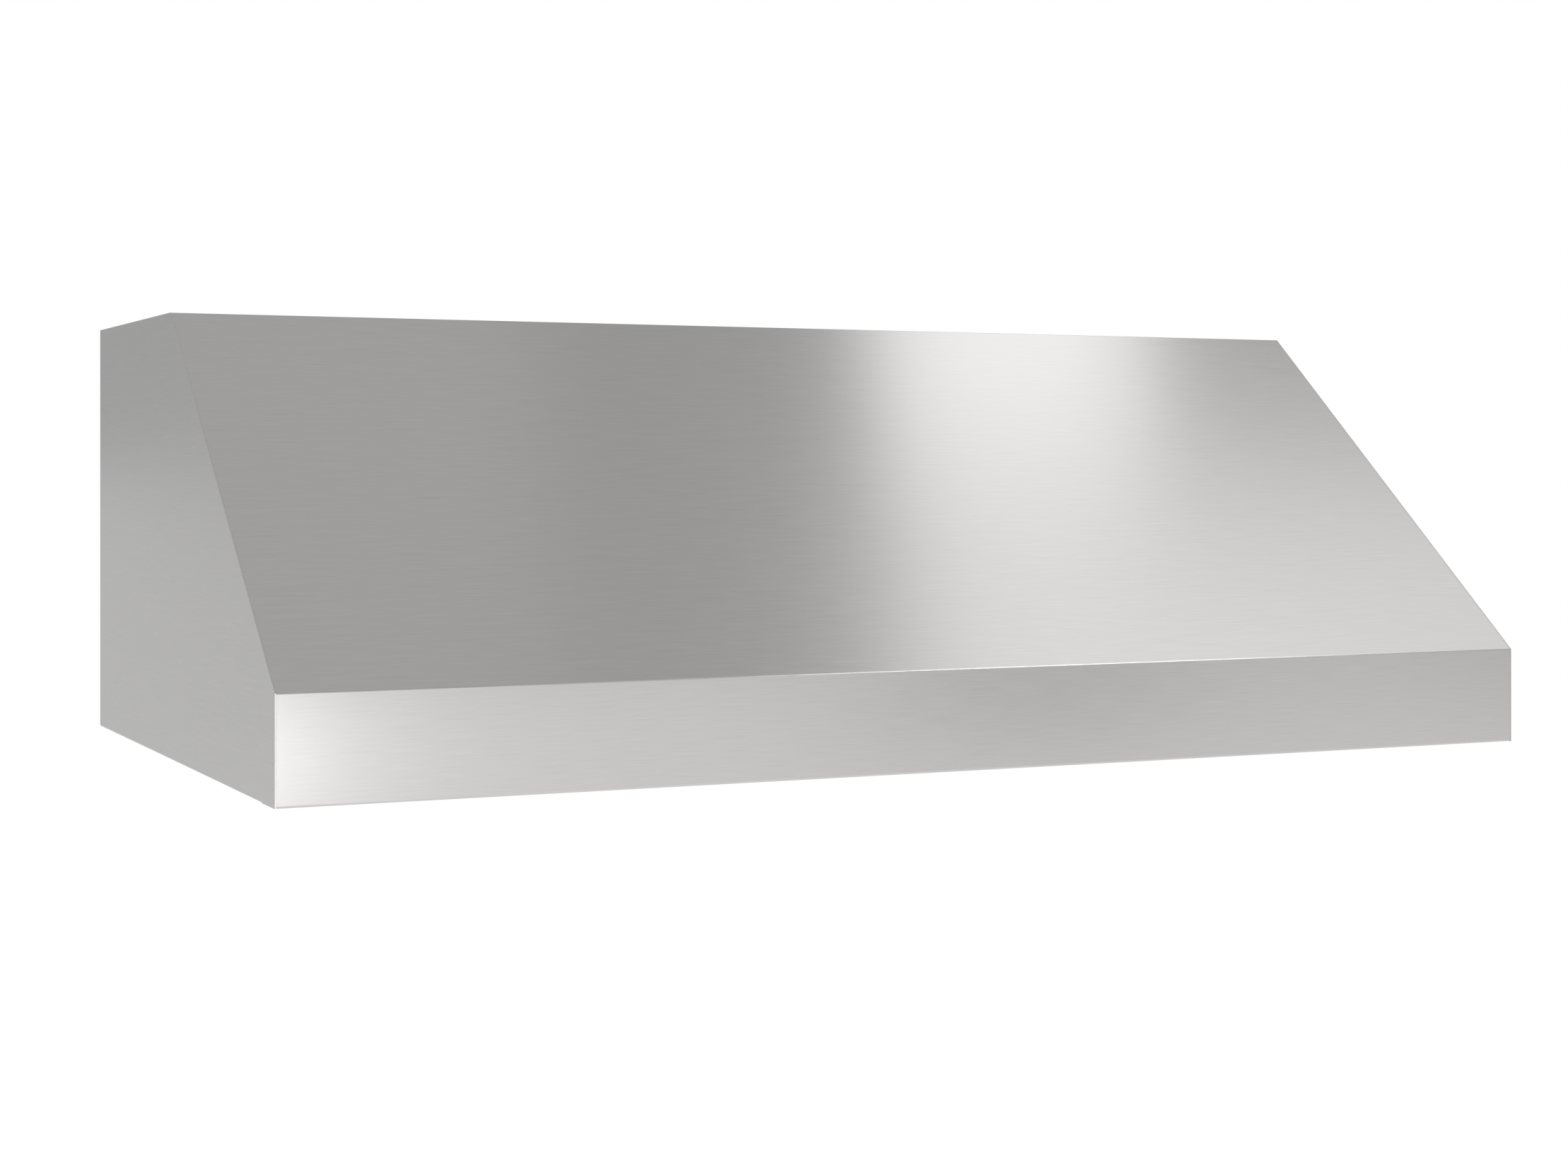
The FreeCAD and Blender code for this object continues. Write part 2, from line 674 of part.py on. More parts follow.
flap_radius = f"({damper_radius} - Sizes.flap_gap)"
edge = f"(Sizes.knuckle_radius + {gap})"
flap_top = "(-Sizes.damper_drop - 0.8)"
flap_low = f"({flap_top} - Sizes.flap_gauge)"
knuckle = "(Sizes.knuckle_zone / 4)"
for side, name, order in ((-1, "damper_flap_front", (0, 2)), (1, "damper_flap_rear", (1, 3))):
    disc = rod(name + "_disc", "0", "0", flap_low, flap_radius, "Sizes.flap_gauge")
    ends = sorted([f"({side} * {edge})", f"({side} * {flap_radius})"], key=mm)
    half = box(name + "_half", f"(-{flap_radius})", ends[0], flap_low, flap_radius, ends[1], flap_top)
    blade = doc.addObject("Part::Common", name + "_blade")
    blade.Base = disc
    blade.Tool = half
    pieces = [blade]
    for k in order:
        x0 = f"(-Sizes.knuckle_zone / 2 + {k} * {knuckle} + {gap})"
        x1 = f"(-Sizes.knuckle_zone / 2 + {k + 1} * {knuckle} - {gap})"
        pieces.append(along_pin(f"{name}_knuckle_{k}", x0, "Sizes.knuckle_radius", f"({x1} - {x0})"))
        ends = sorted([f"({side} * 1.5)", f"({side} * ({edge} + 1))"], key=mm)
        pieces.append(box(f"{name}_web_{k}", x0, ends[0], flap_low, x1, ends[1], flap_top))
    bore_fit = "(Sizes.pin_radius + Sizes.running_gap)"
    bore = along_pin(name + "_bore", "-Sizes.knuckle_zone", bore_fit, "(2 * Sizes.knuckle_zone)")
    keep(cut(name, joined(name + "_body", pieces), bore), name)

# ---- blower: wheel, scroll, inlet rings, motor and the throat up to the damper ----

wheel_at = Vector(0, mm(wheel_y), mm(wheel_z))


def shape_node(label, shape, at=Vector(0, 0, 0)):
    piece = doc.addObject("Part::Feature", label)
    piece.Shape = shape
    piece.Placement = FreeCAD.Placement(at, Rotation())
    return keep(piece, label)


def wheel_shape():
    """Forward-curved blades between two end rings, a hub disc and the shaft, all along X."""
    radius = mm("Sizes.wheel_radius")
    inner = radius - mm("Sizes.blade_depth")
    half = mm("Sizes.wheel_width") / 2
    thick = mm("Sizes.blade_gauge")
    hub_x = mm("Sizes.hub_offset")
    axis = Vector(1, 0, 0)
    parts = []
    for x in (-half, half - 2):
        outer_ring = Part.makeCylinder(radius, 2, Vector(x, 0, 0), axis)
        parts.append(outer_ring.cut(Part.makeCylinder(inner, 2, Vector(x, 0, 0), axis)))
    parts.append(Part.makeCylinder(radius - 1, 2, Vector(hub_x - 1, 0, 0), axis))
    parts.append(Part.makeCylinder(14, 16, Vector(hub_x - 8, 0, 0), axis))
    shaft_start = -half + mm("Sizes.motor_length") - 15 - 9
    shaft_length = hub_x + 8 - shaft_start
    shaft_at = Vector(shaft_start, 0, 0)
    parts.append(Part.makeCylinder(mm("Sizes.shaft_radius"), shaft_length, shaft_at, axis))
    count = int(mm("Sizes.blade_count"))
    lean = 0.5 * thick
    for k in range(count):
        a = Vector(-half + 1, inner + 1, 0)
        b = Vector(-half + 1, (inner + radius) / 2, 3)
        c = Vector(-half + 1, radius - 0.6, 7.5)
        far_side = [p + Vector(0, lean, -thick) for p in (c, b, a)]
        edges = [
            Part.Arc(a, b, c).toShape(),
            Part.makeLine(c, far_side[0]),
            Part.Arc(*far_side).toShape(),
            Part.makeLine(far_side[2], a),
        ]
        blade = Part.Face(Part.Wire(edges)).extrude(Vector(2 * half - 2, 0, 0))
        blade.rotate(Vector(0, 0, 0), axis, 360 * k / count)
        parts.append(blade)
    return parts[0].multiFuse(parts[1:])


shape_node("blower_wheel", wheel_shape(), wheel_at)

growth = mm("Sizes.scroll_growth")
reach = mm(wheel_reach)
outlet_z = -mm("Sizes.throat_bottom")
outlet_front = wheel_at.y - growth / 2
outlet_rear = outlet_front + reach + 3.5 * growth
scroll_centres = [
    (wheel_at.y - growth / 2, wheel_at.z - growth / 2),
    (wheel_at.y + growth / 2, wheel_at.z - growth / 2),
    (wheel_at.y + growth / 2, wheel_at.z + growth / 2),
]
scroll_radii = [reach + growth / 2 + i * growth for i in range(3)]


def scroll_edges(x, grow):
    """Three quarter arcs, each larger than the one before, then straight up at the rear."""
    edges = []
    for i, (y, z) in enumerate(scroll_centres):
        radius = scroll_radii[i] + grow
        start = 90 * (i + 1)
        points = []
        for angle in (start, start + 45, start + 90):
            turn = math.radians(angle)
            points.append(Vector(x, y + radius * math.cos(turn), z + radius * math.sin(turn)))
        edges.append((points[0], points[2], Part.Arc(*points).toShape()))
    return edges


def on_arc(edge):
    """A point well inside an arc, for an arc that keeps the circle but starts elsewhere."""
    return edge.valueAt(edge.getParameterByLength(edge.Length / 2))


def scroll_sheet():
    thick = mm(gauge)
    x = -mm("Sizes.scroll_width") / 2
    inside = scroll_edges(x, 0)
    outside = scroll_edges(x, thick)
    rear_in = Vector(x, outlet_rear, outlet_z)
    rear_out = Vector(x, outlet_rear + thick, outlet_z)
    front_in = Vector(x, outlet_front, outlet_z)
    front_out = Vector(x, outlet_front - thick, outlet_z)
    drop = math.sqrt((scroll_radii[0] + thick) ** 2 - thick ** 2)
    corner = Vector(x, outlet_front - thick, scroll_centres[0][1] + drop)
    trimmed = Part.Arc(corner, on_arc(outside[0][2]), outside[0][1]).toShape()
    edges = [
        Part.makeLine(front_in, inside[0][0]),
        inside[0][2],
        inside[1][2],
        inside[2][2],
        Part.makeLine(inside[2][1], rear_in),
        Part.makeLine(rear_in, rear_out),
        Part.makeLine(rear_out, outside[2][1]),
        outside[2][2],
        outside[1][2],
        trimmed,
        Part.makeLine(corner, front_out),
        Part.makeLine(front_out, front_in),
    ]
    wire = Part.Wire(Part.__sortEdges__(edges))
    return Part.Face(wire).extrude(Vector(mm("Sizes.scroll_width"), 0, 0))


def cheek(x, thick):
    margin = mm("Sizes.cheek_margin")
    arcs = scroll_edges(x, margin)
    radius = scroll_radii[0] + margin
    y, z = scroll_centres[0]
    start = Vector(x, outlet_front - margin, z + math.sqrt(radius ** 2 - margin ** 2))
    first = Part.Arc(start, on_arc(arcs[0][2]), arcs[0][1]).toShape()
    rear_top = Vector(x, outlet_rear + margin, outlet_z)
    front_top = Vector(x, outlet_front - margin, outlet_z)
    edges = [
        first,
        arcs[1][2],
        arcs[2][2],
        Part.makeLine(arcs[2][1], rear_top),
        Part.makeLine(rear_top, front_top),
        Part.makeLine(front_top, start),
    ]
    plate = Part.Face(Part.Wire(Part.__sortEdges__(edges))).extrude(Vector(thick, 0, 0))
    eye_at = Vector(x - thick, wheel_at.y, wheel_at.z)
    eye = Part.makeCylinder(mm("Sizes.inlet_radius"), 3 * thick, eye_at, Vector(1, 0, 0))
    return plate.cut(eye)


half_scroll = mm("Sizes.scroll_width") / 2
shape_node("scroll_wrap", scroll_sheet())
shape_node("scroll_cheek_left", cheek(-half_scroll - mm(gauge), mm(gauge)))
shape_node("scroll_cheek_right", cheek(half_scroll, mm(gauge)))

for side, name in ((-1, "inlet_ring_left"), (1, "inlet_ring_right")):
    rim = "Sizes.inlet_radius"
    lip = "Sizes.inlet_lip"
    turned(name, [
        (f"({rim} - 0.8)", f"(-{lip})"),
        (rim, f"(-{lip})"),
        (rim, gauge),
        (f"({rim} + {lip})", gauge),
        (f"({rim} + {lip})", f"({gauge} + 0.8)"),
        (f"({rim} - 0.8)", f"({gauge} + 0.8)"),
    ], f"({side} * Sizes.scroll_width / 2)", wheel_y, wheel_z, Rotation(Vector(0, 1, 0), 90 * side))

motor_face = "(-Sizes.wheel_width / 2 - 15)"
turned("motor_body", [
    ("0", "0"),
    ("(Sizes.motor_radius - 4)", "0"),
    ("Sizes.motor_radius", "4"),
    ("Sizes.motor_radius", "(Sizes.motor_length - 10)"),
    ("(Sizes.motor_radius - 10)", "(Sizes.motor_length - 4)"),
    ("12", "(Sizes.motor_length - 4)"),
    ("12", "Sizes.motor_length"),
    ("(Sizes.shaft_radius + Sizes.running_gap)", "Sizes.motor_length"),
    ("(Sizes.shaft_radius + Sizes.running_gap)", "(Sizes.motor_length - 12)"),
    ("0", "(Sizes.motor_length - 12)"),
], motor_face, wheel_y, wheel_z, along_x)

# three arms from the motor's end to the left cheek
arm_x0 = f"({motor_face} - 2)"
hub_plate = rod("bracket_hub", arm_x0, wheel_y, wheel_z, "(Sizes.motor_radius - 8)", "2", along_x)
cheek_x = f"(-{cheek_face})"
arms = [hub_plate]
arm_reach = "(Sizes.inlet_radius + 16)"
bolt_circle = "(Sizes.inlet_radius + 11)"
motor_screw_places = []
for k in range(3):
    angle = 90 + 120 * k
    arm = doc.addObject("Part::Box", f"bracket_arm_{k}")
    arm.setExpression("Length", f"({cheek_x} - {arm_x0})")
    arm.setExpression("Width", arm_reach)
    arm.Height = 14
    turn = Rotation(Vector(1, 0, 0), angle)
    shift = turn.multVec(Vector(0, 0, -7))
    place(arm, arm_x0, f"({wheel_y} + {shift.y:.4f})", f"({wheel_z} + {shift.z:.4f})", turn)
    arms.append(arm)
    a = math.radians(angle)
    head_x = f"({arm_x0} - Sizes.screw_head_height)"
    bolt_y = f"({wheel_y} + {bolt_circle} * {math.cos(a):.4f})"
    bolt_z = f"({wheel_z} + {bolt_circle} * {math.sin(a):.4f})"
    motor_screw_places.append((head_x, bolt_y, bolt_z))
relief = rod("bracket_relief", f"({arm_x0} + 2)", wheel_y, wheel_z, "(Sizes.inlet_radius + 8)", "40", along_x)
core = cut("bracket_arms", joined("bracket_star", arms), relief)
bracket_drills = [
    rod(f"bracket_drill_{i}", f"({x} - 1)", y, z, drill_radius, "30", along_x)
    for i, (x, y, z) in enumerate(motor_screw_places)
]
keep(cut("motor_bracket", core, group("bracket_drills", bracket_drills)), "motor_bracket")


def throat_shape():
    """Sheet-metal throat, from the scroll's rectangular outlet up to the round damper ring."""
    half = mm("Sizes.scroll_width") / 2
    depth = (outlet_rear - outlet_front) / 2
    top_z = -mm("Sizes.throat_top")
    thick = mm("Sizes.collar_gauge")

    def solid(grow):
        corners = [
            Vector(i * (half + grow), j * (depth + grow), outlet_z)
            for i, j in ((1, 1), (-1, 1), (-1, -1), (1, -1))
        ]
        low = Part.makePolygon(corners + corners[:1])
        radius = mm(damper_radius) + grow
        turns = [math.atan2(corner.y, corner.x) for corner in corners]
        arcs = []
        for i in range(4):
            a = turns[i]
            b = turns[(i + 1) % 4]
            if b < a:
                b += 2 * math.pi
            points = []
            for turn in (a, (a + b) / 2, b):
                points.append(Vector(radius * math.cos(turn), radius * math.sin(turn), top_z))
            arcs.append(Part.Arc(*points).toShape())
        return Part.makeLoft([low, Part.Wire(arcs)], True, True)

    return solid(thick).cut(solid(0))


shape_node("outlet_transition", throat_shape())

# each hanger: a tab on the cheek, a step out to the leg, and a foot under the top panel
for side, name in ((-1, "blower_hanger_left"), (1, "blower_hanger_right")):
    hanger = doc.addObject("PartDesign::Body", name)
    bent = "Sizes.hanger_gauge"
    leg_low = f"({wheel_z} + Sizes.inlet_radius + Sizes.inlet_lip + Sizes.hanger_gap)"
    foot_far = f"({hanger_leg} + Sizes.hanger_foot)"
    corners = [
        (cheek_face, leg_low),
        (f"({hanger_leg} + {bent})", leg_low),
        (f"({hanger_leg} + {bent})", f"(-{gauge} - {bent})"),
        (foot_far, f"(-{gauge} - {bent})"),
        (foot_far, f"(-{gauge})"),
        (hanger_leg, f"(-{gauge})"),
        (hanger_leg, f"({leg_low} + {bent})"),
        (f"({cheek_face} + {bent})", f"({leg_low} + {bent})"),
        (f"({cheek_face} + {bent})", f"({leg_low} + Sizes.hanger_tab)"),
        (cheek_face, f"({leg_low} + Sizes.hanger_tab)"),
    ]
    profile = sketch_on(hanger, "XZ_Plane", "(-Sizes.hanger_width / 2)")
    polygon(profile, [(f"({side} * {x})", z) for x, z in corners])
    pad(hanger, profile, "Sizes.hanger_width")
    holes = sketch_on(hanger, "XY_Plane", f"(-{gauge} - {bent})")
    for x, y in hanger_places:
        if mm(x) * side > 0:
            circle(holes, x, y, drill_radius)
    pocket(hanger, holes, bent)
    keep(hanger, name)

# ---- lamps, knobs and their switches on the light panel ----

panel_top_z = f"({panel_z} + {gauge})"
for name, x in zip(("left", "right"), lamp_places):
    lamp = "Sizes.lamp_radius"
    turned(f"lamp_bezel_{name}", [
        (f"({lamp} - 3)", "-Sizes.bezel_drop"),
        (f"({lamp} + Sizes.bezel_width - 1.5)", "-Sizes.bezel_drop"),
        (f"({lamp} + Sizes.bezel_width)", "-1"),
        (f"({lamp} + Sizes.bezel_width)", "0"),
        (f"({lamp} - 1)", "0"),
        (f"({lamp} - 1)", "-1"),
        (f"({lamp} - 3)", "-1"),
    ], x, control_y, panel_z)
    turned(f"lamp_lens_{name}", [
        ("0", "-1"),
        (f"({lamp} - 1.2)", "-1"),
        (f"({lamp} - 1.2)", "2"),
        ("0", "2"),
    ], x, control_y, panel_z)
    turned(f"lamp_can_{name}", [
        (f"({lamp} - 0.6)", "0"),
        (f"({lamp} + 0.4)", "0"),
        (f"({lamp} + 0.4)", f"{gauge}"),
        (f"({lamp} + 6)", f"{gauge}"),
        (f"({lamp} + 6)", f"({gauge} + 1)"),
        (f"({lamp} + 0.4)", f"({gauge} + 1)"),
        (f"({lamp} + 0.4)", "(Sizes.can_height - 8)"),
        (f"({lamp} - 10)", "Sizes.can_height"),
        ("0", "Sizes.can_height"),
        ("0", "(Sizes.can_height - 1)"),
        (f"({lamp} - 10.5)", "(Sizes.can_height - 1)"),
        (f"({lamp} - 0.6)", "(Sizes.can_height - 8.5)"),
    ], x, control_y, panel_z)

knob_top = "(-Sizes.knob_gap)"
controls = (("knob_fan", "fan_switch"), ("knob_light", "light_dimmer"))
for (name, switch), x in zip(controls, knob_places):
    knob_low = f"({knob_top} - Sizes.knob_height)"
    turned(name, [
        ("0", knob_low),
        ("(Sizes.knob_radius - 2.5)", knob_low),
        ("(Sizes.knob_radius - 1)", f"({knob_low} + 1)"),
        ("Sizes.knob_radius", knob_top),
        ("Sizes.stem_radius", knob_top),
        ("Sizes.stem_radius", f"({gauge} + 14)"),
        ("0", f"({gauge} + 14)"),
    ], x, control_y, panel_z)
    half = "Sizes.switch_size / 2"
    case = box(
        f"{switch}_case",
        f"({x} - {half})",
        f"({control_y} - {half})",
        panel_top_z,
        f"({x} + {half})",
        f"({control_y} + {half})",
        f"({panel_top_z} + Sizes.switch_height)",
    )
    socket_fit = "(Sizes.stem_radius + Sizes.running_gap)"
    socket = rod(f"{switch}_socket", x, control_y, f"({panel_top_z} - 1)", socket_fit, "16")
    keep(cut(switch, case, socket), switch)

# ---- electrical pieces ----

wiring_x = "Sizes.wire_x"
box_x0 = f"({wiring_x} - Sizes.box_length / 2)"
box_x1 = f"({wiring_x} + Sizes.box_length / 2)"
box_y0 = f"({wire_y} - Sizes.box_depth / 2)"
box_y1 = f"({wire_y} + Sizes.box_depth / 2)"
box_low = f"(-{gauge} - Sizes.box_height)"
outer = box("junction_outer", box_x0, box_y0, box_low, box_x1, box_y1, f"(-{gauge})")
inner = box(
    "junction_inner",
    f"({box_x0} + 1)",
    f"({box_y0} + 1)",
    f"({box_low} - 1)",
    f"({box_x1} - 1)",
    f"({box_y1} - 1)",
    f"(-{gauge} - 1)",
)
entry = rod("junction_entry", wiring_x, wire_y, "-10", "Sizes.wire_radius", "20")
keep(cut("junction_box", cut("junction_shell", outer, inner), entry), "junction_box")
keep(box("junction_cover", box_x0, box_y0, f"({box_low} - 1)", box_x1, box_y1, box_low), "junction_cover")
turned("wire_bushing", [
    ("(Sizes.wire_radius - 2.6)", "-7"),
    ("(Sizes.wire_radius + 2.5)", "-7"),
    ("(Sizes.wire_radius + 2.5)", f"(-2 * {gauge})"),
    ("Sizes.wire_radius", f"(-2 * {gauge})"),
    ("Sizes.wire_radius", "0"),
    ("(Sizes.wire_radius - 2.6)", "0"),
], wiring_x, wire_y, "0")
driver_y = f"({wall_y} - 80)"
driver = box(
    "led_driver",
    "(-Sizes.driver_x - Sizes.driver_length)",
    driver_y,
    f"(-{gauge} - Sizes.driver_height)",
    "(-Sizes.driver_x)",
    f"({driver_y} + Sizes.driver_depth)",
    f"(-{gauge})",
)
keep(driver, "led_driver")

can = "Sizes.capacitor_radius"
can_half = "(Sizes.capacitor_length / 2)"
can_x = f"({cheek_face} + {can} + 2)"
can_z = f"({wheel_z} - Sizes.inlet_radius - Sizes.capacitor_drop)"
turned("capacitor", [
    ("0", f"(-{can_half})"),
    (f"({can} - 1)", f"(-{can_half})"),
    (can, f"(1 - {can_half})"),
    (can, f"({can_half} - 1)"),
    (f"({can} - 1)", can_half),
    ("0", can_half),
], can_x, wheel_y, can_z, Rotation(Vector(1, 0, 0), 90))
clamp_y = f"({wheel_y} + Sizes.clamp_width / 2)"
band = rod("clamp_band", can_x, clamp_y, can_z, f"({can} + 1.5)", "Sizes.clamp_width", along_minus_y)
pad_half = f"({can} + 1)"
foot = box(
    "clamp_foot",
    cheek_face,
    f"({clamp_y} - Sizes.clamp_width)",
    f"({can_z} - {pad_half})",
    f"({cheek_face} + 3)",
    clamp_y,
    f"({can_z} + {pad_half})",
)
hollow_y = f"({clamp_y} + 1)"
hollow_length = "(Sizes.clamp_width + 2)"
hollow = rod("clamp_hollow", can_x, hollow_y, can_z, f"({can} + 0.05)", hollow_length, along_minus_y)
keep(cut("capacitor_clamp", joined("clamp_body", [band, foot]), hollow), "capacitor_clamp")

# ---- fasteners ----

channel_head_y = f"({wall_inner_y} - {gauge} - Sizes.screw_head_height)"
channel_places = [(x, channel_head_y, channel_screw_z) for x in channel_screw_x]
channel_reach = f"(Sizes.screw_head_height + 2 * {gauge})"
screws("channel_screws", channel_places, Rotation(Vector(1, 0, 0), -90), channel_reach)
collar_under = f"(-{gauge} - Sizes.collar_gauge - Sizes.screw_head_height)"
screws("collar_screws", [(x, y, collar_under) for x, y in collar_places], None, f"(-{collar_under})")
hanger_under = f"(-{gauge} - Sizes.hanger_gauge - Sizes.screw_head_height)"
screws("hanger_screws", [(x, y, hanger_under) for x, y in hanger_places], None, f"(-{hanger_under})")
screws("motor_screws", motor_screw_places, along_x, f"(Sizes.screw_head_height + {cheek_x} - {arm_x0})")

doc.recompute()

# ---- every object must be sound before anything is written ----

for item in doc.Objects:
    if "Invalid" in item.State or "Error" in item.State:
        raise RuntimeError("not computed: " + item.Label)
for piece in nodes:
    if piece.Shape.isNull() or not piece.Shape.isValid():
        raise RuntimeError("bad shape: " + piece.Label)
    if not piece.Shape.Solids:
        raise RuntimeError("no solid: " + piece.Label)

os.makedirs("parts", exist_ok=True)
for piece in nodes:
    piece.Shape.exportStep(os.path.join("parts", piece.Label + ".step"))
    print(piece.Label, len(piece.Shape.Solids), round(piece.Shape.Volume))
print(len(nodes), "nodes")
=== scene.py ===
import json
import math

import bmesh
import bpy
from mathutils import Matrix, Vector


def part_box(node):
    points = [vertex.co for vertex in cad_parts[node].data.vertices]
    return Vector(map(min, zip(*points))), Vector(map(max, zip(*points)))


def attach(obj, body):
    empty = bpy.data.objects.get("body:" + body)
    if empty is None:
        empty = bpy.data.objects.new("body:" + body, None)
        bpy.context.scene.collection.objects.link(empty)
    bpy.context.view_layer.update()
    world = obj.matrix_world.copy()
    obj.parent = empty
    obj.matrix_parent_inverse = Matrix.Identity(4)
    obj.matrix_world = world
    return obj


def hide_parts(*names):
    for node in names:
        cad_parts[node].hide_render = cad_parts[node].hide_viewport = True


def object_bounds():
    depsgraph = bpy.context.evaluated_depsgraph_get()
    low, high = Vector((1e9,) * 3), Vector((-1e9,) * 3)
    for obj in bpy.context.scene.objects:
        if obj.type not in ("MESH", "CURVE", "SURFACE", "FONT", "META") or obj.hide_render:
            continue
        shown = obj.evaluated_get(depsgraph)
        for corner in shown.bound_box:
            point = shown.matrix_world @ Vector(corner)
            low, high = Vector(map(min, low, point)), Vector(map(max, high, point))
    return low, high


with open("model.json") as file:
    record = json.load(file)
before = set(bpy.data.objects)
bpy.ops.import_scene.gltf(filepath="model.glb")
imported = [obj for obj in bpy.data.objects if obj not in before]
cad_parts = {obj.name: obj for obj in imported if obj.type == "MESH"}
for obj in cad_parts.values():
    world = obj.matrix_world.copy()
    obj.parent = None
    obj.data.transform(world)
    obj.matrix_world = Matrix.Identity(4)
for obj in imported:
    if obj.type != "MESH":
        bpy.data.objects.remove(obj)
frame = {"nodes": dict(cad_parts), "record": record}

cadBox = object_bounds()
nodes = frame["nodes"]
scene = bpy.context.scene
print("frame loaded:", len(nodes), "nodes")


# camera and studio

view = {
    "place": (-0.9769, -2.2559, -0.1246),
    "turn": -25.01,  # degrees to the right of straight ahead
    "lens": 60.61,
    "sensor": 36,
    "shiftY": -0.0731,
    "clipEnd": 60,
}
studio = {
    "floorDrop": 2.2,  # from the hood's bottom down to the floor
    "floorSize": 24,
    "floorTone": 0.82,
    "floorRoughness": 0.9,
    "backdrop": 1.0,  # brightness of floor and surround where they are seen directly
    "floorGlow": 0.44,  # brightness of each in reflections
    "surroundGlow": 0.41,
}
softBoxes = {  # place, the way it faces, width and length, watts
    "overheadFront": ((1.30, -0.66, 1.0), (0, 0, -1), (1.36, 1.2), 2.9),
    "overheadRear": ((0.85, 0.24, 1.0), (0, 0, -1), (0.44, 0.7), 1.0),
    "overheadLeft": ((-0.55, -0.2, 1.0), (0, 0, -1), (1.4, 1.5), 0.5),
    "cornerLeft": ((-0.6, -0.8, 1.0), (0, 0, -1), (0.9, 0.6), 0.6),
    "frontNear": ((-0.4, -3.6, -0.8), (0, 1, 0), (1.2, 1.4), 11.6),
    "frontWide": ((0.35, -3.7, -0.3), (0, 1, 0), (2.5, 1.4), 4.4),
    "foldGlint": ((1.3, -1.95, 1.15), (-0.55, 0.6, -0.6), (0.9, 0.35), 5.0),
    "rearLeft": ((-0.85, 1.3, -0.72), (0, -1, 0), (1.0, 1.2), 0.58),
    "frontRight": ((2.8, -3.6, -0.3), (0, 1, 0), (1.2, 1.4), 1.5),
}


def newMaterial(name):
    material = bpy.data.materials.new(name)
    material.use_nodes = True
    tree = material.node_tree
    return material, tree.nodes, tree.links, tree.nodes["Principled BSDF"]


def makeCamera():
    camera = bpy.data.objects.new("viewCamera", bpy.data.cameras.new("viewCamera"))
    scene.collection.objects.link(camera)
    camera.location = view["place"]
    camera.rotation_euler = (math.radians(90), 0, math.radians(view["turn"]))
    camera.data.sensor_width = view["sensor"]
    camera.data.lens = view["lens"]
    camera.data.shift_y = view["shiftY"]
    camera.data.clip_end = view["clipEnd"]
    scene.camera = camera


# bright where the camera sees it, dimmer in reflections
def addGlow(n, l, reflected):
    path = n.new("ShaderNodeLightPath")
    glow = n.new("ShaderNodeMix")
    glow.data_type = "RGBA"
    glow.inputs["A"].default_value = (*[reflected] * 3, 1)
    glow.inputs["B"].default_value = (*[studio["backdrop"]] * 3, 1)
    l.new(path.outputs["Is Camera Ray"], glow.inputs["Factor"])
    return glow.outputs["Result"]


def makeFloor():
    bm = bmesh.new()
    bmesh.ops.create_grid(bm, x_segments=1, y_segments=1, size=studio["floorSize"] / 2)
    bmesh.ops.translate(bm, verts=bm.verts, vec=(0, 0, cadBox[0].z - studio["floorDrop"]))
    mesh = bpy.data.meshes.new("studioFloor")
    bm.to_mesh(mesh)
    bm.free()
    floor = bpy.data.objects.new("studioFloor", mesh)
    scene.collection.objects.link(floor)
    material, n, l, shader = newMaterial("paleFloor")
    shader.inputs["Base Color"].default_value = (*[studio["floorTone"]] * 3, 1)
    shader.inputs["Roughness"].default_value = studio["floorRoughness"]
    shader.inputs["Emission Strength"].default_value = 1
    l.new(addGlow(n, l, studio["floorGlow"]), shader.inputs["Emission Color"])
    mesh.materials.append(material)


def makeSurround():
    world = bpy.data.worlds.new("studioSurround")
    scene.world = world
    world.use_nodes = True
    n = world.node_tree.nodes
    l = world.node_tree.links
    l.new(addGlow(n, l, studio["surroundGlow"]), n["Background"].inputs["Color"])


def makeSoftBox(name, place, facing, size, watts):
    data = bpy.data.lights.new(name, "AREA")
    data.shape = "RECTANGLE"
    data.size, data.size_y = size
    data.energy = watts
    light = bpy.data.objects.new(name, data)
    scene.collection.objects.link(light)
    light.location = place
    light.rotation_mode = "QUATERNION"
    light.rotation_quaternion = Vector(facing).to_track_quat("-Z", "Y")
    light.visible_camera = False


makeCamera()
makeFloor()
makeSurround()
for name, box in softBoxes.items():
    makeSoftBox(name, *box)
scene.view_settings.view_transform = "Standard"
print("studio ready")


# material effects, each a node group

def newGroup(name, inputs, outputs):
    group = bpy.data.node_groups.new(name, "ShaderNodeTree")
    for label, kind, value in inputs:
        socket = group.interface.new_socket(label, in_out="INPUT", socket_type=kind)
        socket.default_value = value
    for label in outputs:
        group.interface.new_socket(label, in_out="OUTPUT", socket_type="NodeSocketFloat")
    start = group.nodes.new("NodeGroupInput")
    end = group.nodes.new("NodeGroupOutput")
    return group, group.nodes, group.links, start.outputs, end.inputs


# one math node; each input is a number or another socket
def arith(n, l, operation, a, b, c=None):
    node = n.new("ShaderNodeMath")
    node.operation = operation
    for socket, value in zip(node.inputs, (a, b, c)):
        if value is None:
            continue
        if isinstance(value, (int, float)):
            socket.default_value = value
        else:
            l.new(value, socket)
    return node.outputs[0]


# noise and cell greys run about 0.5, so this runs about nought
def centred(n, l, value):
    return arith(n, l, "SUBTRACT", value, 0.5)


# a level that moves with a value by a depth
def swing(n, l, value, depth, level):
    return arith(n, l, "MULTIPLY_ADD", value, depth, level)


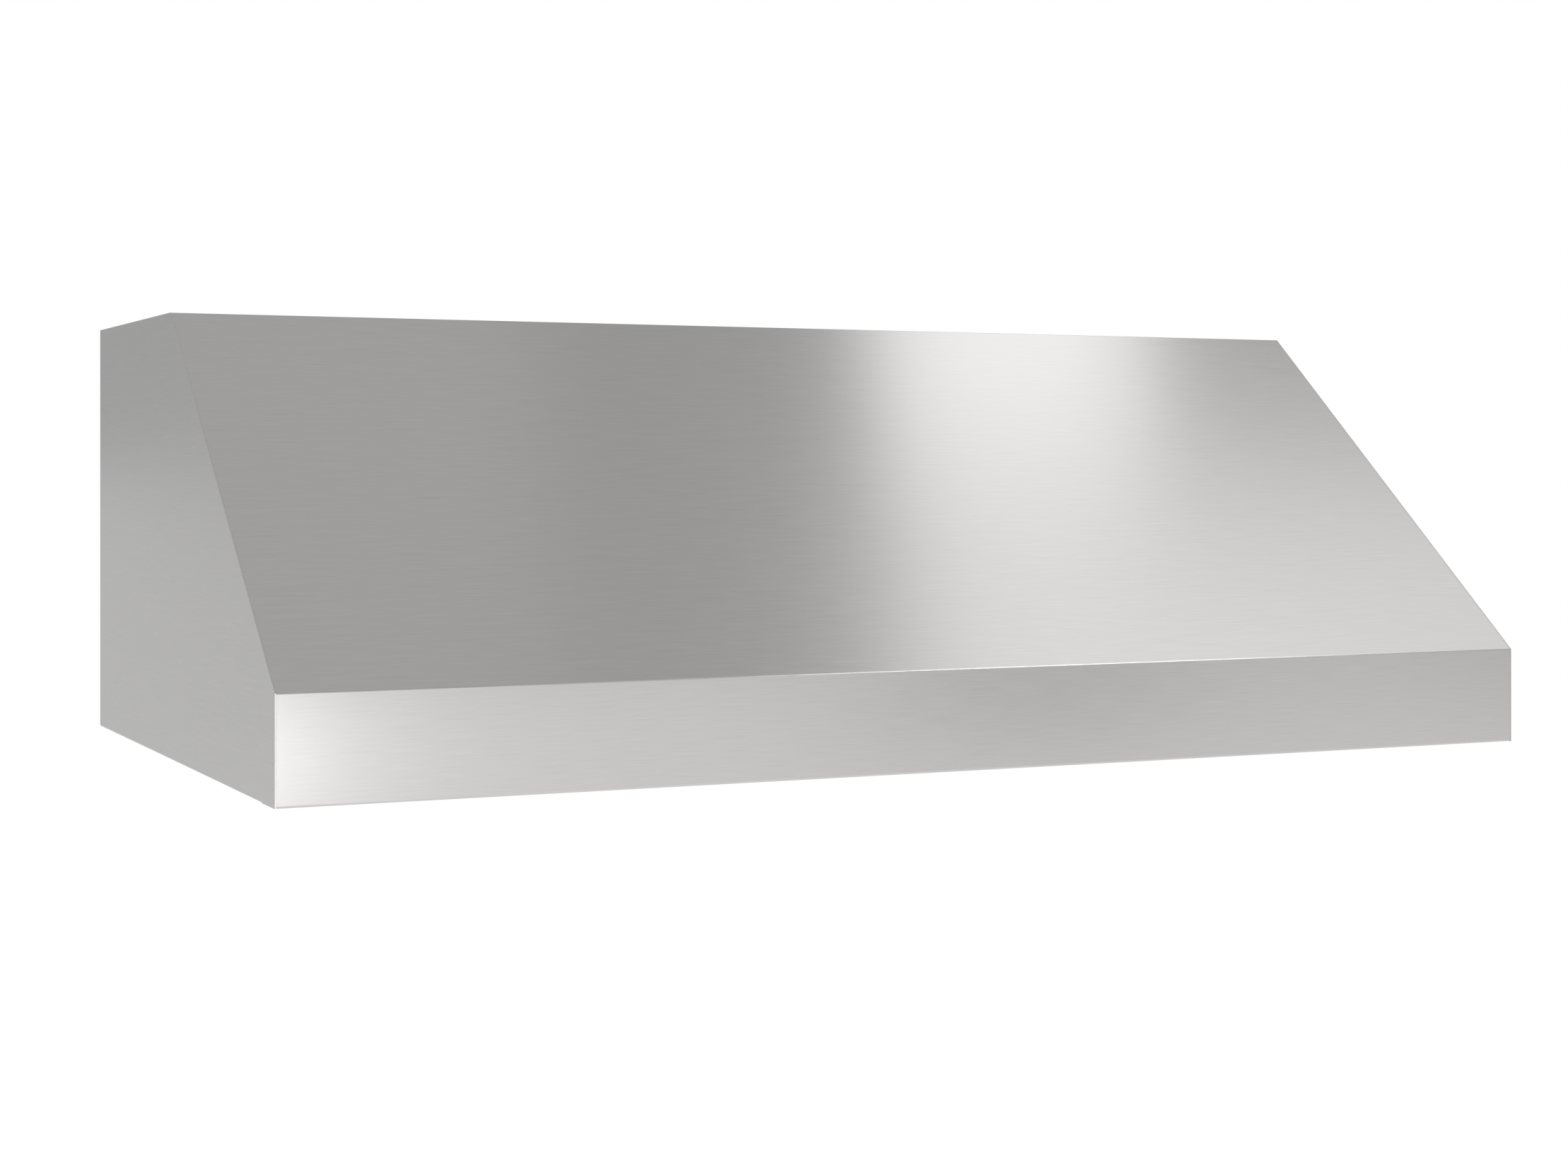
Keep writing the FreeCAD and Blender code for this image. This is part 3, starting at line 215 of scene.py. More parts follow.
def noise(n, l, vector, scale, detail=2.0, roughness=0.5):
    node = n.new("ShaderNodeTexNoise")
    node.inputs["Detail"].default_value = detail
    node.inputs["Roughness"].default_value = roughness
    if isinstance(scale, (int, float)):
        node.inputs["Scale"].default_value = scale
    else:
        l.new(scale, node.inputs["Scale"])
    l.new(vector, node.inputs["Vector"])
    return node.outputs["Fac"]


def makeBrushedGrain():
    group, n, l, start, end = newGroup("brushedGrain", [
        ("Position", "NodeSocketVector", (0, 0, 0)),
        ("Streak Length", "NodeSocketFloat", 0.03),
        ("Streak Width", "NodeSocketFloat", 0.0006),
        ("Tone Depth", "NodeSocketFloat", 0.1),
        ("Roughness", "NodeSocketFloat", 0.3),
        ("Roughness Depth", "NodeSocketFloat", 0.1),
    ], ("Tone", "Roughness", "Height"))
    split = n.new("ShaderNodeSeparateXYZ")
    l.new(start["Position"], split.inputs[0])
    join = n.new("ShaderNodeCombineXYZ")
    for axis, size in enumerate(("Streak Length", "Streak Width", "Streak Width")):
        l.new(arith(n, l, "DIVIDE", split.outputs[axis], start[size]), join.inputs[axis])
    streak = noise(n, l, join.outputs[0], 1, 3, 0.5)
    change = centred(n, l, streak)
    rough = swing(n, l, change, start["Roughness Depth"], start["Roughness"])
    l.new(swing(n, l, change, start["Tone Depth"], 1), end["Tone"])
    l.new(rough, end["Roughness"])
    l.new(streak, end["Height"])
    return group


def makeHandling():
    group, n, l, start, end = newGroup("handlingMarks", [
        ("Position", "NodeSocketVector", (0, 0, 0)),
        ("Size", "NodeSocketFloat", 0.08),
        ("Smear", "NodeSocketFloat", 0.03),
        ("Dulling", "NodeSocketFloat", 0.04),
    ], ("Tone", "Roughness"))
    scale = arith(n, l, "DIVIDE", 1.0, start["Size"])
    broad = centred(n, l, noise(n, l, start["Position"], scale, 3))
    l.new(swing(n, l, broad, start["Smear"], 1), end["Tone"])
    l.new(arith(n, l, "MULTIPLY", broad, start["Dulling"]), end["Roughness"])
    return group


def makeSpangle():
    group, n, l, start, end = newGroup("zincSpangle", [
        ("Position", "NodeSocketVector", (0, 0, 0)),
        ("Crystal Size", "NodeSocketFloat", 0.012),
        ("Contrast", "NodeSocketFloat", 0.3),
        ("Roughness", "NodeSocketFloat", 0.42),
    ], ("Tone", "Roughness", "Height"))
    cells = n.new("ShaderNodeTexVoronoi")
    l.new(start["Position"], cells.inputs["Vector"])
    l.new(arith(n, l, "DIVIDE", 1.0, start["Crystal Size"]), cells.inputs["Scale"])
    grey = n.new("ShaderNodeSeparateColor")
    l.new(cells.outputs["Color"], grey.inputs[0])
    change = centred(n, l, grey.outputs[0])
    l.new(swing(n, l, change, start["Contrast"], 1), end["Tone"])
    l.new(swing(n, l, change, start["Contrast"], start["Roughness"]), end["Roughness"])
    l.new(noise(n, l, start["Position"], 900, 3), end["Height"])  # frost of about a millimetre
    return group


def makeGreaseFilm():
    group, n, l, start, end = newGroup("greaseFilm", [
        ("Position", "NodeSocketVector", (0, 0, 0)),
        ("Patch Size", "NodeSocketFloat", 0.05),
        ("Cover", "NodeSocketFloat", 0.3),
    ], ("Mask",))
    scale = arith(n, l, "DIVIDE", 1.0, start["Patch Size"])
    patch = noise(n, l, start["Position"], scale, 5, 0.6)
    edge = n.new("ShaderNodeMapRange")
    edge.inputs["From Min"].default_value = 0.45  # below this the metal is clean
    edge.inputs["From Max"].default_value = 0.75
    l.new(patch, edge.inputs["Value"])
    l.new(arith(n, l, "MULTIPLY", edge.outputs["Result"], start["Cover"]), end["Mask"])
    return group


def makeMouldedGrain():
    group, n, l, start, end = newGroup("mouldedGrain", [
        ("Position", "NodeSocketVector", (0, 0, 0)),
        ("Grain Size", "NodeSocketFloat", 0.0008),
        ("Roughness", "NodeSocketFloat", 0.5),
        ("Roughness Depth", "NodeSocketFloat", 0.15),
        ("Tone Depth", "NodeSocketFloat", 0.12),
    ], ("Tone", "Roughness", "Height"))
    scale = arith(n, l, "DIVIDE", 1.0, start["Grain Size"])
    grain = noise(n, l, start["Position"], scale, 2)
    change = centred(n, l, grain)
    rough = swing(n, l, change, start["Roughness Depth"], start["Roughness"])
    l.new(swing(n, l, change, start["Tone Depth"], 1), end["Tone"])
    l.new(rough, end["Roughness"])
    l.new(grain, end["Height"])
    return group


effects = {
    "brushed": makeBrushedGrain(),
    "handling": makeHandling(),
    "spangle": makeSpangle(),
    "grease": makeGreaseFilm(),
    "moulded": makeMouldedGrain(),
}


# materials

wear = {
    "greaseColour": (0.42, 0.33, 0.18, 1),
    "greaseDulling": 0.25,
    "grainTurn": 0.25,  # a quarter turn, so that highlights spread across the grain
}


def addEffect(n, l, place, effect, values):
    node = n.new("ShaderNodeGroup")
    node.node_tree = effects[effect]
    l.new(place, node.inputs["Position"])
    for label, value in values.items():
        node.inputs[label].default_value = value
    return node.outputs


def tinted(n, l, colour, tones):
    result = (*colour, 1)
    for tone in tones:
        mix = n.new("ShaderNodeMix")
        mix.data_type = "RGBA"
        mix.blend_type = "MULTIPLY"
        mix.inputs["Factor"].default_value = 1
        if isinstance(result, tuple):
            mix.inputs["A"].default_value = result
        else:
            l.new(result, mix.inputs["A"])
        l.new(tone, mix.inputs["B"])
        result = mix.outputs["Result"]
    return result


def dented(n, l, shader, height, strength, distance):
    bump = n.new("ShaderNodeBump")
    bump.inputs["Strength"].default_value = strength
    bump.inputs["Distance"].default_value = distance
    l.new(height, bump.inputs["Height"])
    l.new(bump.outputs["Normal"], shader.inputs["Normal"])


# one main effect, handling marks, and a grease film where the finish has one
def surface(name, look):
    material, n, l, shader = newMaterial(name)
    source = n.new("ShaderNodeTexCoord").outputs["Object"]
    turn = look.get("turn")
    if turn:
        mapping = n.new("ShaderNodeMapping")
        mapping.inputs["Rotation"].default_value = (0, 0, math.radians(turn))
        l.new(source, mapping.inputs["Vector"])
        source = mapping.outputs["Vector"]
    main = addEffect(n, l, source, look["effect"], look["values"])
    marks = addEffect(n, l, source, "handling", look.get("marks", {}))
    colour = tinted(n, l, look["colour"], (main["Tone"], marks["Tone"]))
    rough = arith(n, l, "ADD", main["Roughness"], marks["Roughness"])
    if "grease" in look:
        film = addEffect(n, l, source, "grease", look["grease"])
        soiled = n.new("ShaderNodeMix")
        soiled.data_type = "RGBA"
        l.new(film["Mask"], soiled.inputs["Factor"])
        l.new(colour, soiled.inputs["A"])
        soiled.inputs["B"].default_value = wear["greaseColour"]
        colour = soiled.outputs["Result"]
        rough = swing(n, l, film["Mask"], wear["greaseDulling"], rough)
    l.new(colour, shader.inputs["Base Color"])
    l.new(rough, shader.inputs["Roughness"])
    shader.inputs["Metallic"].default_value = look.get("metallic", 1)
    if "grain" in look:
        shader.inputs["Anisotropic"].default_value = look["grain"]
        shader.inputs["Anisotropic Rotation"].default_value = wear["grainTurn"]
        if look.get("tangent"):
            tangent = n.new("ShaderNodeTangent")
            tangent.direction_type = "UV_MAP" if look["tangent"] == "uv" else "RADIAL"
            if look["tangent"] == "uv":
                tangent.uv_map = "grain"
            else:
                tangent.axis = "Y"
            l.new(tangent.outputs["Tangent"], shader.inputs["Tangent"])
    if "transmission" in look:
        shader.inputs["Transmission Weight"].default_value = look["transmission"]
        shader.inputs["IOR"].default_value = look["ior"]
    dented(n, l, shader, main["Height"], look.get("bump", 0.2), look.get("depth", 0.0001))
    return material


brushedSheet = {
    "Streak Length": 0.035, "Streak Width": 0.0006, "Tone Depth": 0.20,
    "Roughness": 0.30, "Roughness Depth": 0.10,
}
steelTone = (0.71, 0.70, 0.694)
evenSheet = {"Size": 0.12, "Smear": 0.015, "Dulling": 0.02}
handledSheet = {"Size": 0.09, "Smear": 0.04, "Dulling": 0.05}
greased = {"Patch Size": 0.03, "Cover": 0.12}
shellSteel = surface("shellSteel", {
    "effect": "brushed", "values": brushedSheet, "colour": steelTone, "grain": 0.7,
    "tangent": "uv", "marks": evenSheet,
})
sideSteel = surface("sideSteel", {
    "effect": "brushed", "values": brushedSheet, "colour": steelTone, "grain": 0.7,
    "tangent": "uv", "turn": 90, "marks": evenSheet,
})
flatSteel = surface("flatSteel", {
    "effect": "brushed", "values": brushedSheet, "colour": steelTone, "grain": 0.6,
    "tangent": "radial", "marks": handledSheet,
})
wallSteel = surface("wallSteel", {
    "effect": "brushed", "values": brushedSheet, "colour": steelTone, "grain": 0.6,
    "marks": handledSheet,
})
troughSteel = surface("troughSteel", {
    "effect": "brushed", "values": brushedSheet, "colour": steelTone, "grain": 0.5,
    "grease": {"Patch Size": 0.02, "Cover": 0.25},
})
filterSteel = surface("filterSteel", {
    "effect": "brushed", "values": {**brushedSheet, "Roughness": 0.26, "Tone Depth": 0.08},
    "colour": (0.70, 0.70, 0.69), "grain": 0.5, "tangent": "uv", "grease": greased,
})
slatSteel = surface("slatSteel", {
    "effect": "brushed", "values": {**brushedSheet, "Roughness": 0.24, "Tone Depth": 0.07},
    "colour": (0.70, 0.70, 0.69), "grain": 0.5, "tangent": "uv", "turn": 90, "grease": greased,
})
zincSheet = surface("zincSheet", {
    "effect": "spangle", "values": {"Crystal Size": 0.011, "Contrast": 0.22, "Roughness": 0.42},
    "colour": (0.60, 0.62, 0.64), "depth": 0.00005,
})
springSteel = surface("springSteel", {
    "effect": "brushed", "values": {**brushedSheet, "Streak Length": 0.008, "Roughness": 0.22},
    "colour": (0.58, 0.57, 0.55), "grain": 0.4,
})
screwZinc = surface("screwZinc", {
    "effect": "spangle", "values": {"Crystal Size": 0.0012, "Contrast": 0.12, "Roughness": 0.30},
    "colour": (0.66, 0.66, 0.65), "marks": {"Size": 0.004, "Smear": 0.1, "Dulling": 0.1},
    "depth": 0.00003,
})
trimChrome = surface("trimChrome", {
    "effect": "brushed", "colour": (0.78, 0.78, 0.79), "bump": 0.03, "values": {
        **brushedSheet, "Roughness": 0.09, "Roughness Depth": 0.03, "Tone Depth": 0.02,
    },
})
knobMetal = surface("knobMetal", {
    "effect": "brushed", "colour": (0.70, 0.70, 0.70), "grain": 0.5, "values": {
        **brushedSheet, "Streak Length": 0.006, "Streak Width": 0.0003, "Roughness": 0.24,
    },
})


def mouldedFace(size, roughness, depth):
    return {"Grain Size": size, "Roughness": roughness, "Roughness Depth": depth}


canAluminium = surface("canAluminium", {
    "effect": "moulded", "values": mouldedFace(0.0015, 0.35, 0.1),
    "colour": (0.75, 0.75, 0.76),
})
motorEnamel = surface("motorEnamel", {
    "effect": "moulded", "values": mouldedFace(0.002, 0.28, 0.08),
    "colour": (0.02, 0.02, 0.022), "metallic": 0, "bump": 0.35, "depth": 0.0002,
})
blackPlastic = surface("blackPlastic", {
    "effect": "moulded", "values": mouldedFace(0.0006, 0.5, 0.15),
    "colour": (0.025, 0.025, 0.028), "metallic": 0, "bump": 0.5,
})
whitePlastic = surface("whitePlastic", {
    "effect": "moulded", "values": mouldedFace(0.0007, 0.42, 0.12),
    "colour": (0.78, 0.78, 0.76), "metallic": 0, "bump": 0.4,
})
dialInk = surface("dialInk", {
    "effect": "moulded", "values": mouldedFace(0.0004, 0.55, 0.1),
    "colour": (0.03, 0.03, 0.035), "metallic": 0,
})
ledPhosphor = surface("ledPhosphor", {
    "effect": "moulded", "values": mouldedFace(0.0005, 0.4, 0.1),
    "colour": (0.85, 0.68, 0.16), "metallic": 0,
})
lampGlass = surface("lampGlass", {
    "effect": "moulded", "values": mouldedFace(0.0009, 0.32, 0.1),
    "colour": (0.95, 0.95, 0.93), "metallic": 0, "bump": 0.6, "transmission": 0.7, "ior": 1.49,
})

finishes = {
    "shell_steel": flatSteel,
    "filter_steel": filterSteel,
    "galvanised": zincSheet,
    "spring_steel": springSteel,
    "motor_enamel": motorEnamel,
    "lamp_trim": trimChrome,
    "lamp_glass": lampGlass,
    "lamp_can": canAluminium,
    "knob_metal": knobMetal,
    "black_plastic": blackPlastic,
    "white_plastic": whitePlastic,
    "screw_steel": screwZinc,
}
for part in frame["record"]["subparts"]:
    mesh = nodes[part["node"]].data
    mesh.materials.clear()
    mesh.materials.append(finishes[part["material_slot"]])
for name in ("rear_channel", "side_liner_left", "side_liner_right"):
    nodes[name].data.materials[0] = troughSteel
nodes["back_panel"].data.materials[0] = wallSteel
print("materials ready")


# ways to make a piece

folding = {
    "foldSegments": 5,
    "foldFrom": 20,  # degrees between two faces that make a fold
    "edgeSegments": 2,
    "sharpFrom": 35,  # degrees at which an edge is broken, or stays sharp
    "mergeWithin": 1e-6,
}


# a map whose first axis runs with the brushing, for the direction of the highlights
def addGrainMap(bm, along):
    layer = bm.loops.layers.uv.new("grain")
    for face in bm.faces:
        across = face.normal.cross(along)
        if across.length < 0.2:
            across = face.normal.orthogonal()
        first = across.cross(face.normal)
        for loop in face.loops:
            loop[layer].uv = (loop.vert.co.dot(first), loop.vert.co.dot(across))


def addPiece(name, bm, material, body, stands=(), wall=0, edge=0, along=(1, 0, 0)):
    bm.normal_update()
    addGrainMap(bm, Vector(along))
    mesh = bpy.data.meshes.new(name)
    bm.to_mesh(mesh)
    bm.free()
    mesh.materials.append(material)
    mesh.shade_smooth()
    piece = bpy.data.objects.new(name, mesh)
    scene.collection.objects.link(piece)
    if wall:
        sheet = piece.modifiers.new("sheet", "SOLIDIFY")
        sheet.thickness = wall
        sheet.offset = -1
        sheet.use_even_offset = True
    if edge:
        brokenEdge = piece.modifiers.new("brokenEdge", "BEVEL")
        brokenEdge.width = edge
        brokenEdge.segments = folding["edgeSegments"]
        brokenEdge.limit_method = "ANGLE"
        brokenEdge.angle_limit = math.radians(folding["sharpFrom"])
        brokenEdge.harden_normals = True
    else:
        mesh.set_sharp_from_angle(angle=math.radians(folding["sharpFrom"]))
    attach(piece, body)
    if stands:
        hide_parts(*stands)
    return piece


def edgeMiddle(edge):
    return (edge.verts[0].co + edge.verts[1].co) / 2


# each sharp fold becomes an arc of the bend radius
def roundFolds(bm, radius):
    folds = []
    for edge in bm.edges:
        turn = edge.calc_face_angle(0) if len(edge.link_faces) == 2 else 0
        if turn > math.radians(folding["foldFrom"]):
            folds.append((edgeMiddle(edge), turn))
    for middle, turn in folds:
        edge = min(bm.edges, key=lambda e: (edgeMiddle(e) - middle).length)
        bmesh.ops.bevel(
            bm, geom=[edge], offset=radius * math.tan(turn / 2), profile=0.5,
            segments=folding["foldSegments"], affect="EDGES", material=-1, clamp_overlap=False,
        )


# new faces off some edges; what comes back is the vertices still to be moved
def extrudeEdges(bm, edges):
    made = bmesh.ops.extrude_edge_only(bm, edges=edges)["geom"]
    return [g for g in made if isinstance(g, bmesh.types.BMVert)]


# the faces of one sheet all turn so that the largest looks outward
def turnOut(faces, outward):
    largest = max(faces, key=lambda f: f.calc_area())
    largest.normal_update()
    if largest.normal.dot(Vector(outward)) < 0:
        for face in faces:
            face.normal_flip()


# a sheet folded across its run; points are the visible face's corners at its start
def addFoldedSheet(bm, points, run, radius, outward):
    strip = bmesh.new()
    corners = [strip.verts.new(p) for p in points]
    sides = [strip.edges.new(pair) for pair in zip(corners, corners[1:])]
    bmesh.ops.translate(strip, verts=extrudeEdges(strip, sides), vec=run)
    roundFolds(strip, radius)
    turnOut(list(strip.faces), outward)
    pour(strip, bm)


# moves one mesh into another
def pour(source, target):
    holder = bpy.data.meshes.new("holder")
    source.to_mesh(holder)
    source.free()
    target.from_mesh(holder)
    bpy.data.meshes.remove(holder)


# turns a closed outline of (radius, height) pairs round its own axis
def lathe(bm, profile, centre, toAxis=Matrix.Identity(4), steps=64):
    part = bmesh.new()
    corners = [part.verts.new((r, 0, h)) for r, h in profile]
    closed = corners if profile[0][0] == 0 and profile[-1][0] == 0 else corners + corners[:1]
    sides = [part.edges.new(pair) for pair in zip(closed, closed[1:])]
    bmesh.ops.spin(
        part, geom=corners + sides, cent=(0, 0, 0), axis=(0, 0, 1),
        angle=math.tau, steps=steps, use_merge=True,
    )
    bmesh.ops.remove_doubles(part, verts=part.verts, dist=folding["mergeWithin"])
    bmesh.ops.recalc_face_normals(part, faces=part.faces)
    bmesh.ops.transform(part, matrix=Matrix.Translation(centre) @ toAxis, verts=part.verts)
    pour(part, bm)


# a box between two corners
def block(bm, low, high, bevel=0):
    part = bmesh.new()
    low, high = Vector(low), Vector(high)
    size = Matrix.Diagonal((*(high - low), 1))
    bmesh.ops.create_cube(part, size=1, matrix=Matrix.Translation((low + high) / 2) @ size)
    if bevel:
        bmesh.ops.bevel(
            part, geom=list(part.edges), offset=bevel, segments=3, profile=0.5,
            affect="EDGES", material=-1,
        )
    pour(part, bm)


# shell

shell = {
    "lipHeight": 0.0785,
    "topFlange": 0.018,
    "lipReturn": 0.036,
    "hemStep": 0.0006,
    "sideFlange": 0.022,
    "sheet": 0.001,
    "foldRadius": 0.0018,
    "brokenEdge": 0.00022,
}
canopyLow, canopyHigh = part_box("canopy_front")
shellPlaces = {
    "topFront": canopyHigh.y - shell["topFlange"],
    "crease": canopyLow.z + shell["lipHeight"],
    "returnEnd": canopyLow.y + shell["lipReturn"],
    "hem": canopyLow.z + shell["hemStep"],
}


def makeCanopy():
    bm = bmesh.new()
    x = canopyLow.x
    addFoldedSheet(bm, [
        (x, canopyHigh.y, 0),
        (x, shellPlaces["topFront"], 0),
        (x, canopyLow.y, shellPlaces["crease"]),
        (x, canopyLow.y, canopyLow.z),
        (x, shellPlaces["returnEnd"], canopyLow.z),
    ], (canopyHigh.x - x, 0, 0), shell["foldRadius"], (0, -1, 1))
    addPiece(
        "canopyFront", bm, shellSteel, "hood", ["canopy_front"],
        shell["sheet"], shell["brokenEdge"],
    )


def makeSidePanel(name, node, side):
    low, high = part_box(node)
    x = low.x if side < 0 else high.x
    bm = bmesh.new()
    outline = [
        (x, shellPlaces["returnEnd"], shellPlaces["hem"]),
        (x, high.y, shellPlaces["hem"]),
        (x, high.y, 0),
        (x, shellPlaces["topFront"], 0),
        (x, low.y, shellPlaces["crease"]),
        (x, low.y, low.z),
        (x, shellPlaces["returnEnd"], low.z),
    ]
    corners = [bm.verts.new(p) for p in outline]
    bm.faces.new(corners)
    hem = bm.edges.get(corners[:2])
    flange = (-side * shell["sideFlange"], 0, 0)
    bmesh.ops.translate(bm, verts=extrudeEdges(bm, [hem]), vec=flange)
    bmesh.ops.recalc_face_normals(bm, faces=bm.faces)
    roundFolds(bm, shell["foldRadius"])
    turnOut(list(bm.faces), (side, 0, 0))
    addPiece(
        name, bm, sideSteel, "hood", [node],
        shell["sheet"], shell["brokenEdge"], along=(0, 1, 0),
    )


makeCanopy()
makeSidePanel("sidePanelLeft", "side_panel_left", -1)
makeSidePanel("sidePanelRight", "side_panel_right", 1)
print("shell ready")


# baffle filters

baffleFilter = {
    "rail": 0.022,
    "sheet": 0.001,
    "foldRadius": 0.0014,
    "mitreGap": 0.00015,
    "slatWidth": 0.030,
    "slatHeight": 0.009,
    "slatSheet": 0.0008,
    "slatFold": 0.0016,
    "slatCount": 7,
    "rivetRadius": 0.0028,
    "rivetRise": 0.0011,
    "rivetPlaces": (0.7, 1.9),  # in from each side, in half widths of a rail
    "rivetSides": 20,
    "brokenEdge": 0.0002,
    "handleSheet": 0.002,
    "handleFoot": 0.012,
    "handleLean": 0.008,
    "handleFold": 0.003,
    "handleEdge": 0.0004,
    "handleRivetRadius": 0.0032,
    "handleRivetFlat": 0.4,
}


# one mitred channel of a filter frame; the corner is where its outer walls meet
def makeRail(bm, corner, inward, run):
    rail = baffleFilter["rail"]
    along = Vector(run).normalized()
    start = Vector(corner[0]) + along * baffleFilter["mitreGap"]
    rise = Vector((0, 0, corner[1]))
    flange = (Vector(inward) + along) * rail
    strip = bmesh.new()
    outline = (start + flange, start, start + rise, start + rise + flange)
    corners = [strip.verts.new(p) for p in outline]
    sides = [strip.edges.new(pair) for pair in zip(corners, corners[1:])]
    moved = extrudeEdges(strip, sides)
    middle = Vector(corner[0]) + Vector(run) / 2
    flip = Matrix.Diagonal((-1 if along.x else 1, -1 if along.y else 1, 1, 1))
    about = Matrix.Translation(middle) @ flip @ Matrix.Translation(-middle)
    bmesh.ops.transform(strip, matrix=about, verts=moved)
    bmesh.ops.recalc_face_normals(strip, faces=strip.faces)
    roundFolds(strip, baffleFilter["foldRadius"])
    wall = min(strip.faces, key=lambda f: (f.calc_center_median() - (middle + rise / 2)).length)
    wall.normal_update()
    if wall.normal.dot(Vector(inward)) > 0:
        bmesh.ops.reverse_faces(strip, faces=strip.faces)
    pour(strip, bm)


def addRivet(bm, place, radius, flat):
    sides = baffleFilter["rivetSides"]
    bmesh.ops.create_uvsphere(
        bm, u_segments=sides, v_segments=sides // 2, radius=radius,
        matrix=Matrix.Translation(place) @ Matrix.Diagonal((1, 1, flat, 1)),
    )


def makeFilter(number):
    body = f"filter_{number}"
    low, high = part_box(f"filter_frame_{number}")
    rise = high.z - low.z
    width = high.x - low.x
    depth = high.y - low.y
    bm = bmesh.new()
    makeRail(bm, ((low.x, low.y, low.z), rise), (0, 1, 0), (width, 0, 0))
    makeRail(bm, ((low.x, high.y, low.z), rise), (0, -1, 0), (width, 0, 0))
    addPiece(
        f"filterEnds{number}", bm, filterSteel, body, [f"filter_frame_{number}"],
        baffleFilter["sheet"], baffleFilter["brokenEdge"],
    )
    bm = bmesh.new()
    makeRail(bm, ((low.x, low.y, low.z), rise), (1, 0, 0), (0, depth, 0))
    makeRail(bm, ((high.x, low.y, low.z), rise), (-1, 0, 0), (0, depth, 0))
    addPiece(
        f"filterSides{number}", bm, slatSteel, body, (),
        baffleFilter["sheet"], baffleFilter["brokenEdge"], along=(0, 1, 0),
    )
    makeSlats(number, body)
    makeHandle(number, body, low.z)
    bm = bmesh.new()
    inset = baffleFilter["rail"] / 2
    near, far = (inset * place for place in baffleFilter["rivetPlaces"])
    flat = baffleFilter["rivetRise"] / baffleFilter["rivetRadius"]
    for x in (low.x + near, low.x + far, high.x - near, high.x - far):
        for y in (low.y + inset, high.y - inset):
            addRivet(bm, (x, y, low.z), baffleFilter["rivetRadius"], flat)
    addPiece(f"filterRivets{number}", bm, screwZinc, body)


def makeSlats(number, body):
    low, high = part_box(f"filter_baffles_{number}")
    width = baffleFilter["slatWidth"]
    pitch = (high.x - low.x - width) / (baffleFilter["slatCount"] - 1)
    tall = baffleFilter["slatHeight"]
    rows = (
        (low.x, low.z, low.z + tall, baffleFilter["slatCount"], -1),
        (low.x + pitch / 2, high.z, high.z - tall, baffleFilter["slatCount"] - 1, 1),
    )
    bm = bmesh.new()
    for start, web, tip, count, facing in rows:
        for i in range(count):
            x = start + i * pitch
            far = x + width
            points = [(x, low.y, tip), (x, low.y, web), (far, low.y, web), (far, low.y, tip)]
            run = (0, high.y - low.y, 0)
            addFoldedSheet(bm, points, run, baffleFilter["slatFold"], (0, 0, facing))
    addPiece(
        f"filterSlats{number}", bm, slatSteel, body, [f"filter_baffles_{number}"],
        baffleFilter["slatSheet"], baffleFilter["brokenEdge"], along=(0, 1, 0),
    )


def makeHandle(number, body, frameLow):
    low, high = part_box(f"filter_handle_{number}")
    foot = baffleFilter["handleFoot"]
    lean = baffleFilter["handleLean"]
    rest = frameLow - baffleFilter["handleSheet"]
    bm = bmesh.new()
    addFoldedSheet(bm, [
        (low.x - foot, low.y, rest),
        (low.x, low.y, rest),
        (low.x + lean, low.y, low.z),
        (high.x - lean, low.y, low.z),
        (high.x, low.y, rest),
        (high.x + foot, low.y, rest),
    ], (0, high.y - low.y, 0), baffleFilter["handleFold"], (0, 0, -1))
    addPiece(
        f"filterHandle{number}", bm, filterSteel, body,
        [f"filter_handle_{number}"], baffleFilter["handleSheet"], baffleFilter["handleEdge"],
    )
    bm = bmesh.new()
    for x in (low.x - foot / 2, high.x + foot / 2):
        place = (x, (low.y + high.y) / 2, rest)
        addRivet(bm, place, baffleFilter["handleRivetRadius"], baffleFilter["handleRivetFlat"])
    addPiece(f"handleRivets{number}", bm, screwZinc, body)


for number in (1, 2, 3):
    makeFilter(number)
print("filters ready")


# knobs and lamps under the light panel

knob = {
    "radius": 0.014,
    "ribs": 40,
    "ribDepth": 0.0006,
    "skirt": 0.015,  # height of the part that is turned by hand
    "dish": 0.0006,
    "dishInner": 0.55,  # parts of the radius
    "dishOuter": 0.62,
    "spindle": 0.003,
    "markWidth": 0.0014,
    "markStart": 0.45,
    "markEnd": 0.93,
    "markRise": 0.0002,
    "markDepth": 0.002,
    "dialInner": 0.0165,
    "dialOuter": 0.0195,
    "dialSweep": 270,
    "dialSteps": 6,
    "strokeHalf": 0.0005,
    "longStrokeHalf": 0.0009,  # every third stroke
    "strokeRise": 0.0001,
    "strokeDepth": 0.0002,
}
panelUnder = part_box("lamp_bezel_left")[1].z


